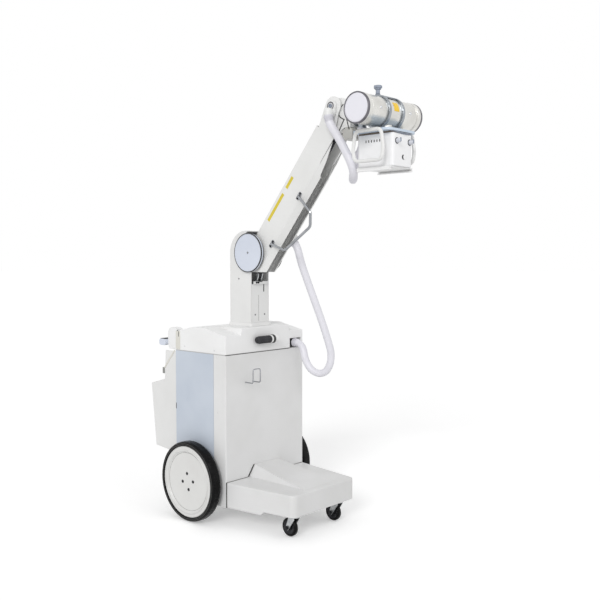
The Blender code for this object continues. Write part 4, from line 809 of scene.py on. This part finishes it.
PLATFORM_TOP, RAMP_FOOT, RAMP_TOP, RAMP_RISE = 0.197, 0.112, 0.077, 0.051
gap = side_slabs(bmesh.new(), 0.2480, HALF_WIDTH, (-0.0055, 0.0855), (-0.0002, PLATFORM_TOP - 0.001))
prism(gap, [(-RAMP_FOOT - 0.006, PLATFORM_TOP + 0.001), (-RAMP_FOOT + 0.001, PLATFORM_TOP + 0.001),
            (-RAMP_TOP + 0.001, PLATFORM_TOP + RAMP_RISE + 0.001), (-RAMP_TOP - 0.005, PLATFORM_TOP + RAMP_RISE)],
      "y", FRONT - 0.0020, FRONT + 0.0005)
fitting("platform_gaps", gap, seal_rubber, "machine")
gap = side_slabs(bmesh.new(), RAMP_FOOT + 0.006, 0.2490, (-0.0014, PLATFORM_TOP - 0.001),
                 (0.0004, PLATFORM_TOP + 0.0012))
fitting("platform_seal", gap, pale_seal, "machine")

# %% [markdown]
# ## Cabinet sides and rear
# The blue panels lift off by a finger slot in their rear edge. Behind, a flat stay holds
# the film bin from the push handle's bracket, clipped to the bin's side. The grip bar has a
# dark anti-slip strip let into its top.


# %% Latches, stays and grip
def upright_strip(shape, side, near, far, start, end, half_width):
    """A thin straight strip on one side of the machine, between two (y, z) places."""
    run = (end - start).normalized()
    across = Vector((-run.y, run.x)) * half_width
    outline = [start + across, start - across, end - across, end + across]
    left, right = sorted((side * near, side * far))
    return prism(shape, [(point.x + FRONT, point.y) for point in outline], "x", left, right)


latch = side_slabs(bmesh.new(), 0.2485, 0.2508, (0.3375, 0.485), (0.3412, 0.512))
fitting("panel_latches", latch, black_plastic, "machine", 0.0006)

stay = bmesh.new()
STAY_TOP, STAY_FOOT, STAY_HALF = Vector((0.352, 0.756)), Vector((0.432, 0.664)), 0.0035
for side in SIDES:
    upright_strip(stay, side, 0.2460, 0.2480, STAY_TOP, STAY_FOOT, STAY_HALF)
clip = side_slabs(bmesh.new(), 0.2455, HALF_WIDTH, (0.428, 0.640), (0.441, 0.669))
fitting("bin_stays", stay, bracket_paint, "machine", 0.0004)
fitting("bin_clips", clip, pale_seal, "machine", 0.0012)

pad = slab(bmesh.new(), at(-0.2485, 0.4240, 0.8028), at(0.2485, 0.4570, 0.8056))
fitting("grip_strip", pad, seal_rubber, "machine", 0.0010)
# Dark pads and warm grey sheets beside the handle's brackets are painted shade in the gap between the cover and the
# brackets.
pad = side_slabs(bmesh.new(), 0.2040, 0.2362, (0.3414, 0.822), (0.3495, 0.850))
side_slabs(pad, 0.2490, 0.2520, (0.3170, 0.822), (0.3205, 0.846))
fitting("bracket_pads", pad, seal_rubber, "machine", 0.0008)
gap_grey_sheet = side_slabs(bmesh.new(), 0.2495, 0.2512, (0.3080, 0.7640), (0.3395, 0.8480))
fitting("bracket_wings", gap_grey_sheet, bracket_paint, "machine", 0.0006)

# %% [markdown]
# ## Hand switch
# The exposure switch lies in its clip on the cabinet's front: a black ribbed grip with a
# button at its end, then a white collar, a dark clasp and a white sleeve. The ribs are
# rings, so a second small tree sets them at even steps along a line.


# %% The rib tree
rib_tree, recipe, given, rib_sockets = open_tree("ribs along a line", {
    "Geometry": "Geometry", "Start": "Vector", "End": "Vector", "Count": "Int", "Ring radius": "Float",
    "Rib radius": "Float", "Finish": "Material"})
line = recipe.node("GeometryNodeMeshLine", {"mode": "END_POINTS"},
                   {"Count": given["Count"], "Start Location": given["Start"], "Offset": given["End"]})
direction = recipe.node("ShaderNodeVectorMath", {"operation": "SUBTRACT"}, {0: given["End"], 1: given["Start"]})
turn = recipe.node("FunctionNodeAlignRotationToVector", {"axis": "Z"}, {"Vector": direction})
circle, section = (recipe.node("GeometryNodeCurvePrimitiveCircle", {}, {"Resolution": steps, "Radius": given[label]})
                   for label, steps in (("Ring radius", 28), ("Rib radius", 8)))
rib = recipe.node("GeometryNodeCurveToMesh", {}, {"Curve": circle, "Profile Curve": section})
ribs = recipe.node("GeometryNodeInstanceOnPoints", {}, {"Points": line, "Instance": rib, "Rotation": turn})
close_tree(recipe, ribs, given["Finish"])


def ribbed(name, start, end, count, ring_radius, rib_radius, finish, body):
    """Rings at even steps from one place to another."""
    made = grown(name, bpy.data.meshes.new(name), rib_tree, rib_sockets,
                 {"Start": tuple(start), "End": tuple(end), "Count": count, "Ring radius": ring_radius,
                  "Rib radius": rib_radius, "Finish": finish})
    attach(made, body)
    print(name, count, "ribs,", len(made.data.polygons), "faces")


# %% Switch ribs and collars
SWITCH_Y, SWITCH_Z, SWITCH_RADIUS = -0.0195, 0.8147, 0.0165
ribbed("switch_ribs", at(-0.064, SWITCH_Y, SWITCH_Z), at(0.003, SWITCH_Y, SWITCH_Z), 10, SWITCH_RADIUS - 0.0004,
       0.0014, black_plastic, "machine")
collar = bmesh.new()
for start, end in ((0.0070, 0.0165), (0.0295, 0.0515)):
    turned(collar, [(start, 0.010), (start, 0.0172), (start + 0.001, 0.0180), (end - 0.001, 0.0180),
                    (end, 0.0172), (end, 0.010)], at(0, SWITCH_Y, SWITCH_Z), RIGHT, 36)
fitting("switch_collars", collar, cover_plastic, "machine")
button = turned(bmesh.new(), [(-0.0040, 0.0155), (0.0110, 0.0155), (0.0140, 0.0146), (0.0160, 0.0120),
                              (0.0160, 0.0090), (0.0185, 0.0085), (0.0190, 0.0)],
                at(-0.0612, SWITCH_Y, SWITCH_Z), LEFT, 32)
fitting("switch_button", button, black_plastic, "machine")
clasp = turned(bmesh.new(), [(0.0175, 0.0150), (0.0175, 0.0192), (0.0185, 0.0200), (0.0275, 0.0200),
                             (0.0285, 0.0192), (0.0285, 0.0150)], at(0, SWITCH_Y, SWITCH_Z), RIGHT, 36)
fitting("switch_clasp", clasp, seal_rubber, "machine")

# %% [markdown]
# ## Column and pivot caps
# The pivot caps are pale blue discs that stand off the column on a dark rim. A black disc
# behind each cap is painted shade; past the arm, the far one stands for the shaded inner
# face of the column's right side plate. Thin black blocks on top of the column are painted
# shade in the gap between the column's cover and the arm's. Below the arm a low bracket with
# a notch lets the levelling rod through; it ends where the arm's lips pass when the arm is
# all the way down.

# %% Pivot cap rims, and black discs of painted shade behind the caps
CAP_RADIUS, CAP_INNER, CAP_OUTER = 0.088, 0.0578, 0.0703
COLUMN_FACE_Y = 0.038
rims = bmesh.new()
for side in SIDES:
    turned(rims, [(CAP_OUTER - 0.0040, CAP_RADIUS - 0.0020), (CAP_OUTER - 0.0040, CAP_RADIUS + 0.0012),
                  (CAP_OUTER - 0.0004, CAP_RADIUS + 0.0012), (CAP_OUTER + 0.0005, CAP_RADIUS - 0.0004),
                  (CAP_OUTER + 0.0005, CAP_RADIUS - 0.0030), (CAP_OUTER - 0.0010, CAP_RADIUS - 0.0034)],
           at(0, ARM_PIVOT.y, ARM_PIVOT.z), (side, 0, 0), 96)
fitting("pivot_cap_rims", rims, seal_rubber, "machine")
BACK_RADIUS, BACK_INNER = 0.0900, 0.0470
# Black discs behind the caps are painted shade: the far one stands for the shaded inner face of the column's side
# plate.
cap_shade_discs = bmesh.new()
for side, radius, inner in ((-1, CAP_RADIUS - 0.001, CAP_INNER - 0.0020), (1, BACK_RADIUS, BACK_INNER)):
    reach = math.acos((COLUMN_FACE_Y - 0.0015 - ARM_PIVOT.y) / radius)
    outline = []
    for step in range(41):
        angle = reach + (2 * math.pi - 2 * reach) * step / 40
        outline.append((at(0, ARM_PIVOT.y + radius * math.cos(angle), 0).y, ARM_PIVOT.z + radius * math.sin(angle)))
    low, high = sorted((side * inner, side * (CAP_INNER + 0.0002)))
    prism(cap_shade_discs, outline, "x", low, high)
fitting("pivot_cap_backs", cap_shade_discs, black_plastic, "machine")
repeated("pivot_cap_screws", pan_head(0.0045, 0.0016),
         [(at(side * CAP_OUTER, ARM_PIVOT.y, ARM_PIVOT.z), (side, 0, 0)) for side in SIDES],
         screw_steel, "machine", random_turn=FULL_TURN)

# %% Painted shade on the column top, and the anchor bracket
# Thin black blocks on top of the column are painted shade in the dark gap between the column's cover and the arm's.
gap_shade_blocks = side_slabs(bmesh.new(), 0.0480, 0.0584, (0.008, 1.2935), (0.068, 1.3010))
side_slabs(gap_shade_blocks, 0.0480, 0.0584, (0.060, 1.2820), (0.068, 1.2940))
fitting("column_stops", gap_shade_blocks, black_plastic, "machine", 0.0010)

BRACKET_FRONT, BRACKET_BACK, BRACKET_LOW, BRACKET_HIGH = 0.0318, 0.0330, 1.0640, 1.0780
outline = [(-0.0465, BRACKET_LOW), (0.0480, BRACKET_LOW), (0.0480, BRACKET_HIGH), (0.0110, BRACKET_HIGH),
           (0.0110, 1.0740), (-0.0110, 1.0740), (-0.0110, BRACKET_HIGH), (-0.0465, BRACKET_HIGH)]
bracket = prism(bmesh.new(), outline, "y", FRONT + BRACKET_FRONT, FRONT + BRACKET_BACK)
fitting("anchor_bracket", bracket, bin_paint, "machine", 0.0003)
repeated("anchor_studs", hex_bolt(0.0036, 0.0045),
         [(at(x, BRACKET_FRONT, 1.0725), AHEAD) for x in (-0.0275, -0.0165)], dark_steel, "machine")
groove = bmesh.new()
slab(groove, at(0.0222, 0.0372, 1.0295), at(0.0268, 0.0384, 1.0680))
slab(groove, at(-0.0500, 0.0374, 1.0655), at(0.0360, 0.0384, 1.0695))
fitting("front_plate_slot", groove, black_plastic, "machine")
groove = bmesh.new()
slab(groove, at(-0.0090, 0.0377, 0.8950), at(-0.0078, 0.0384, 1.0150))
fitting("front_plate_seam", groove, pale_seal, "machine")
column_screws = [(at(side * 0.0575, 0.117, 1.089), (side, 0, 0)) for side in SIDES]
column_screws += [(at(side * 0.030, 0.0383, 0.925), AHEAD) for side in SIDES]
repeated("column_screws", pan_head(0.0040, 0.0016), column_screws, screw_steel, "machine",
         random_turn=FULL_TURN)

# %% [markdown]
# ## Arm fittings
# Blank yellow strips lie along the arm's left side. They are thin sheets with a faint
# thickness, so their edge catches light. Two pointed plates carry the arm's side lips on
# towards its tip, and two dark screws hold each foot of the rod handle.

# %% Arm labels, lip ends and handle screws
LABEL_HALF = 0.0075
strips = bmesh.new()
for start, end in (((-0.062, 1.350), (-0.154, 1.464)), ((-0.173, 1.488), (-0.210, 1.534))):
    upright_strip(strips, -1, 0.0447, 0.0455, Vector(start), Vector(end), LABEL_HALF)
fitting("arm_label_strips", strips, yellow_sheet, "arm")

LIP_SHEET = 0.0016
LIP_CORNERS = ((0.0446, 0.478, -0.0880), (0.0300, 0.478, -0.1130), (0.0370, 0.572, -0.1050),
               (0.0440, 0.655, -0.0895))
lips = bmesh.new()
for side in SIDES:
    outer = [on_arm(side * x, along, across) for x, along, across in LIP_CORNERS]
    skin_over(lips, outer, [corner - Vector((side * LIP_SHEET, 0.0, 0.0)) for corner in outer])
fitting("arm_lip_ends", lips, arm_paint, "arm")

FOOT_PLACES = ((0.373, -0.078), (0.112, -0.078))
foot_screws = [(on_arm(-0.0480, along + shift, across), LEFT)
               for along, across in FOOT_PLACES for shift in (-0.0125, 0.0125)]
repeated("handle_foot_screws", hex_bolt(0.0042, 0.0034), foot_screws, dark_steel, "arm",
         random_turn=FULL_TURN)

# %% [markdown]
# ## Elbow
# The elbow at the arm's tip is a painted casting that turns on the wrist's pin. A short lug
# carries a hollow spout, which turns down and lets the hose out. The lug's outline is two
# circles and the lines that touch both. Its face has a dark ring and a round bolt head in it.


# %% Elbow housing
def lug_outline(first, first_radius, second, second_radius, steps=16):
    """Two circles and the lines that touch both, as (y, z) pairs."""
    line = second - first
    toward = math.atan2(line.y, line.x)
    open_angle = math.acos((first_radius - second_radius) / line.length)
    outline = []
    for centre, radius, start, sweep in (
            (first, first_radius, toward + open_angle, FULL_TURN - 2 * open_angle),
            (second, second_radius, toward - open_angle, 2 * open_angle)):
        for step in range(steps + 1):
            angle = start + sweep * step / steps
            outline.append((centre.x + radius * math.cos(angle) + FRONT, centre.y + radius * math.sin(angle)))
    return outline


SPOUT_X, SPOUT_Y, SPOUT_Z, SPOUT_RADIUS, SPOUT_DEPTH = -0.0745, -0.4375, 1.7800, 0.0185, 0.0135
ELBOW_FACE = -0.0600
wrist_place = at(0, WRIST_PIN.y, WRIST_PIN.z)
elbow = bmesh.new()
turned(elbow, [(-0.0470, 0.0), (-0.0470, 0.0120), (0.0460, 0.0120), (0.0460, 0.0160), (0.0522, 0.0160),
               (0.0530, 0.0152), (0.0530, 0.0)], wrist_place, RIGHT, 40)
turned(elbow, [(0.0465, 0.0), (0.0465, 0.0210), (0.0590, 0.0210), (-ELBOW_FACE, 0.0200), (-ELBOW_FACE, 0.0)],
       wrist_place, LEFT, 48)
prism(elbow, lug_outline(Vector((WRIST_PIN.y, WRIST_PIN.z)), 0.0200, Vector((SPOUT_Y, SPOUT_Z)), 0.0175),
      "x", -0.0585, -0.0475)
turned(elbow, [(0.0475, 0.0), (0.0475, 0.0175), (0.0745, 0.0175), (0.0745, 0.0)], at(0, SPOUT_Y, SPOUT_Z), LEFT, 40)
dome = [(0.0, 0.0), (0.0, SPOUT_RADIUS)]
for step in range(9):
    angle = math.pi / 2 * step / 8
    dome.append((SPOUT_DEPTH + SPOUT_RADIUS * math.sin(angle), SPOUT_RADIUS * math.cos(angle) if step < 8 else 0.0))
turned(elbow, dome, at(SPOUT_X, SPOUT_Y, SPOUT_Z - SPOUT_DEPTH), UP, 40)
housing = put_in_scene("elbow_housing", elbow, arm_paint)
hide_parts("hose_elbow")
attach(housing, "wrist")

# %% Elbow face
ring = turned(bmesh.new(), [(-0.001, 0.0130), (-0.001, 0.0172), (0.0014, 0.0172), (0.0014, 0.0130)],
              at(ELBOW_FACE, WRIST_PIN.y, WRIST_PIN.z), LEFT, 40)
fitting("elbow_ring", ring, dark_ring, "wrist")
bolt = turned(bmesh.new(), [(-0.001, 0.0088), (0.0030, 0.0088), (0.0042, 0.0078), (0.0042, 0.0045),
                            (0.0020, 0.0045), (0.0020, 0.0)],
              at(ELBOW_FACE, WRIST_PIN.y, WRIST_PIN.z), LEFT, 36)
fitting("elbow_bolt", bolt, grey_plastic, "wrist")

# %% Seams of the knuckle
KNUCKLE_SEAMS = (
    ((-0.484, 1.812), (-0.468, 1.797), (-0.460, 1.778), (-0.465, 1.764), (-0.476, 1.756), (-0.491, 1.748)),
    ((-0.487, 1.748), (-0.474, 1.727), (-0.462, 1.706)),
    ((-0.500, 1.756), (-0.508, 1.728), (-0.514, 1.708)),
)
seams = bmesh.new()
for side in SIDES:
    for knots in KNUCKLE_SEAMS:
        points, _ = smooth_route([(side * 0.0352, y, z) for y, z in knots], 0.005)
        bent_bar(seams, points, 0.0022, 8)
fitting("knuckle_seams", seams, seal_rubber, "wrist")

# %% [markdown]
# ## Tube housing
# The x-ray tube's housing is a turned aluminium drum. A dark band marks the joint with each
# end cap, and thin grooves run beside the bands. A blank amber plate is wrapped on the drum
# between the two rings that hold it.

# %% Bands, plate and screws of the tube
TUBE_RADIUS = 0.0598
CAP_LIP_START, CAP_FACE = 0.1690, 0.1800
tube_centre = at(0, TUBE_AXIS.y, TUBE_AXIS.z)
bands = bmesh.new()
for side in SIDES:
    turned(bands, [(CAP_LIP_START, TUBE_RADIUS - 0.002), (CAP_LIP_START, TUBE_RADIUS + 0.0014),
                   (CAP_FACE - 0.0012, TUBE_RADIUS + 0.0014), (CAP_FACE + 0.0004, TUBE_RADIUS + 0.0002),
                   (CAP_FACE + 0.0004, TUBE_RADIUS - 0.0022), (CAP_FACE - 0.0012, TUBE_RADIUS - 0.0040)],
           tube_centre, (side, 0, 0), 96)
fitting("tube_bands", bands, dark_ring, "tube_head")
sleeves = bmesh.new()
for side in SIDES:
    turned(sleeves, [(0.1420, TUBE_RADIUS - 0.002), (0.1424, TUBE_RADIUS + 0.0008), (0.1480, TUBE_RADIUS + 0.0008),
                     (0.1484, TUBE_RADIUS + 0.0003), (0.1500, TUBE_RADIUS + 0.0003), (0.1504, TUBE_RADIUS + 0.0010),
                     (CAP_LIP_START, TUBE_RADIUS + 0.0010), (CAP_LIP_START, TUBE_RADIUS - 0.002)],
           tube_centre, (side, 0, 0), 96)
fitting("tube_sleeves", sleeves, turned_metal, "tube_head")


def on_tube(x, angle, radius):
    """A place on the drum; the angle goes up from straight ahead."""
    return tube_centre + Vector((x, -radius * math.cos(angle), radius * math.sin(angle)))


PLATE_LEFT, PLATE_RIGHT, PLATE_LOW, PLATE_HIGH = -0.012, 0.019, math.radians(1), math.radians(36)
PLATE_PARTS = 12
PLATE_SECTION = ((PLATE_LEFT, TUBE_RADIUS - 0.0005), (PLATE_LEFT, TUBE_RADIUS + 0.0005),
                 (PLATE_RIGHT, TUBE_RADIUS + 0.0005), (PLATE_RIGHT, TUBE_RADIUS - 0.0005))
angles = [PLATE_LOW + (PLATE_HIGH - PLATE_LOW) * step / PLATE_PARTS for step in range(PLATE_PARTS + 1)]
plate = skin_over(bmesh.new(), *([on_tube(x, angle, radius) for x, radius in PLATE_SECTION] for angle in angles))
fitting("tube_label_plate", plate, amber_sheet, "tube_head")

KNOB_X, LOBES = -0.0420, 7
lobed = []
for step in range(LOBES * 8):
    angle = 2 * math.pi * step / (LOBES * 8)
    reach = 0.0157 + 0.0012 * math.cos(LOBES * angle)
    lobed.append((KNOB_X + reach * math.cos(angle), tube_centre.y + reach * math.sin(angle)))
grip = prism(bmesh.new(), lobed, "z", 1.8500, 1.8605)
turned(grip, [(1.8290, 0.0), (1.8290, 0.0085), (1.8505, 0.0085), (1.8505, 0.0)], at(KNOB_X, TUBE_AXIS.y, 0), UP, 32)
fitting("clamp_knob_grip", grip, grey_plastic, "yoke", 0.0012)

SCREW_X, SCREW_ANGLES = 0.098, (math.radians(4), math.radians(176))
tube_screws = [(on_tube(side * SCREW_X, angle, TUBE_RADIUS), Vector((0, -math.cos(angle), math.sin(angle))))
               for side in SIDES for angle in SCREW_ANGLES]
repeated("tube_screws", pan_head(0.0062, 0.0018), tube_screws, chrome_plate, "tube_head",
         random_turn=FULL_TURN)

# %% [markdown]
# ## Collimator
# The collimator box hangs under the tube. Between it and the flange, a brownish strip is
# painted shade in the recessed neck, and two loose leads show there. Six short slots vent each
# side, two pointer knobs set its shutters, and a round lamp hole has a shutter that covers part of it.

# %% Painted shade and leads under the flange
# A brownish strip round the collimator's top is painted shade in the recess under the flange.
gasket = bmesh.new()
slab(gasket, at(-0.0600, -0.7505, 1.6690), at(0.0600, -0.5850, 1.6770))
neck_shade_brown = rubber("brown painted shade", "#786a5e", "#8b7c6e", 0.75)
fitting("flange_gasket", gasket, neck_shade_brown, "tube_head", 0.0010)
leads = bmesh.new()
for height, reach, start, end in ((1.6745, -0.7560, -0.062, 0.058), (1.6716, -0.7535, -0.045, 0.070)):
    knots = [(start, reach + 0.012, height), (start + 0.014, reach, height - 0.001),
             ((start + end) / 2, reach - 0.0035, height - 0.0030), (end - 0.014, reach, height - 0.001),
             (end, reach + 0.012, height)]
    points, _ = smooth_route(knots, 0.006)
    bent_bar(leads, points, 0.0017, 10)
fitting("flange_leads", leads, grey_plastic, "tube_head")

# %% Slots, knobs and lamp hole of the collimator
WALL_X, FIRST_SLOT, SLOT_PITCH, SLOT_Z, SLOTS = 0.0650, -0.625, 0.0134, 1.6430, 6
slot_places = [(at(side * WALL_X, FIRST_SLOT - SLOT_PITCH * number, SLOT_Z), (side, 0, 0))
               for side in SIDES for number in range(SLOTS)]


def vent_slot(half_width, half_height):
    """A dark slot with round ends, long in x so that it stands upright on a side wall."""
    shape = bmesh.new()
    outline = []
    for step in range(16):
        angle = FULL_TURN * (step + 0.5) / 16
        lift = half_height - half_width if math.cos(angle) >= 0 else half_width - half_height
        outline.append((half_width * math.cos(angle) + lift, half_width * math.sin(angle)))
    return prism(shape, outline, "z", -0.0010, 0.0005)


repeated("collimator_slots", vent_slot(0.0022, 0.0052), slot_places, seal_rubber, "tube_head")

BOX_FACE, KNOB_Z, KNOB_PLACES = -0.7549, 1.6391, (-0.0380, 0.0460)
POINTER_FRONT, POINTER_BACK, POINTER_LOW, POINTER_TIP = -0.7752, -0.7700, KNOB_Z - 0.004, KNOB_Z + 0.0105
# A thin dark ring stands round the base of each knob.
base_rings, pointers = bmesh.new(), bmesh.new()
for x in KNOB_PLACES:
    turned(base_rings, [(-0.0005, 0.0122), (0.0010, 0.0122), (0.0014, 0.0114), (0.0014, 0.0)],
           at(x, BOX_FACE, KNOB_Z), AHEAD, 40)
    prism(pointers, [(x - 0.0024, POINTER_LOW), (x + 0.0024, POINTER_LOW), (x + 0.0016, POINTER_TIP),
                     (x - 0.0016, POINTER_TIP)], "y", FRONT + POINTER_FRONT, FRONT + POINTER_BACK)
fitting("knob_dials", base_rings, dark_steel, "tube_head")
fitting("knob_pointers", pointers, grey_plastic, "tube_head", 0.0004)

LAMP_X, LAMP_Z, LAMP_RADIUS, SHUTTER_SHIFT = 0.0045, 1.5790, 0.0095, 0.0086
lamp = turned(bmesh.new(), [(-0.0005, LAMP_RADIUS), (0.0006, LAMP_RADIUS), (0.0006, 0.0)],
              at(LAMP_X, BOX_FACE, LAMP_Z), AHEAD, 32)
fitting("lamp_hole", lamp, black_plastic, "tube_head")
shutter = turned(bmesh.new(), [(0.0004, LAMP_RADIUS), (0.0013, LAMP_RADIUS), (0.0013, 0.0)],
                 at(LAMP_X + SHUTTER_SHIFT, BOX_FACE, LAMP_Z), AHEAD, 32)
fitting("lamp_shutter", shutter, box_plastic, "tube_head")

# %% [markdown]
# ## Floor and light
# The picture is a studio shot on white. A white floor runs to the horizon and the world is
# white, but only to the camera and to reflections; the machine itself is lit at a plain
# level, so that its whites keep their shading. One soft sun comes from the left, and a softbox
# high in front lifts the upper half, as in the picture. The floor adds a little of its own
# white for the camera, which keeps the soft shadow.


# %% Floor
def seen_directly(recipe):
    """1 for rays from the camera, a mirror or glass, and 0 for the light that falls on things."""
    rays = recipe.node("ShaderNodeLightPath").socket.node
    camera_ray, glossy_ray, glass_ray = (Wire(recipe, rays.outputs[kind]) for kind in
                                         ("Is Camera Ray", "Is Glossy Ray", "Is Transmission Ray"))
    return camera_ray + glossy_ray + glass_ray


FLOOR_REACH = 60.0
FLOOR_GLOW = 0.285
floor_finish = Finish("studio floor")
drift = floor_finish.noise(0.8, 2.0)
paper = floor_finish.colours("#f4f4f4", "#efefef", drift)
paper_shader = floor_finish.node("ShaderNodeBsdfDiffuse", {}, {"Color": paper})
glow = floor_finish.node("ShaderNodeEmission", {}, {"Strength": seen_directly(floor_finish) * FLOOR_GLOW})
both = floor_finish.node("ShaderNodeAddShader", {}, {0: paper_shader, 1: glow})
floor_finish.node("ShaderNodeOutputMaterial", {}, {"Surface": both})
floor_shape = bmesh.new()
floor_shape.faces.new([floor_shape.verts.new((x * FLOOR_REACH, y * FLOOR_REACH, 0.0))
                       for x, y in ((-1, -1), (1, -1), (1, 1), (-1, 1))])
floor = put_in_scene("studio_floor", floor_shape, floor_finish.material)

# %% World, sun and softbox
ROOM_LIGHT, BACKDROP = 0.66, 1.0
SUN_STRENGTH, SUN_ANGLE = 1.10, math.radians(20)
SUN_FROM = Vector((-0.800, -0.370, 0.470))
world = bpy.data.worlds.new("studio")
bpy.context.scene.world = world
world.use_nodes = True
sky = Recipe(world.node_tree)
seen = seen_directly(sky)
room, white = (sky.node("ShaderNodeBackground", {}, {"Color": (1, 1, 1, 1), "Strength": strength})
               for strength in (ROOM_LIGHT, BACKDROP))
mixed = sky.node("ShaderNodeMixShader", {}, {0: seen, 1: room, 2: white})
sky.node("ShaderNodeOutputWorld", {}, {"Surface": mixed})

SOFTBOX_PLACE, SOFTBOX_AIM = Vector((-0.30, -2.05, 2.25)), Vector((0.0, -0.30, 1.45))
SOFTBOX_SIZE, SOFTBOX_POWER = 0.9, 5.0


def hang_lamp(name, kind, place, direction, power):
    """A lamp at a place that shines along a direction; its settings come back for the rest."""
    settings = bpy.data.lights.new(name, kind)
    settings.energy = power
    made = bpy.data.objects.new(name, settings)
    made.location = place
    made.rotation_euler = direction.to_track_quat("-Z", "Y").to_euler()
    bpy.context.collection.objects.link(made)
    return settings


hang_lamp("soft_sun", "SUN", Vector(), -SUN_FROM, SUN_STRENGTH).angle = SUN_ANGLE
hang_lamp("front_softbox", "AREA", SOFTBOX_PLACE, SOFTBOX_AIM - SOFTBOX_PLACE, SOFTBOX_POWER).size = SOFTBOX_SIZE
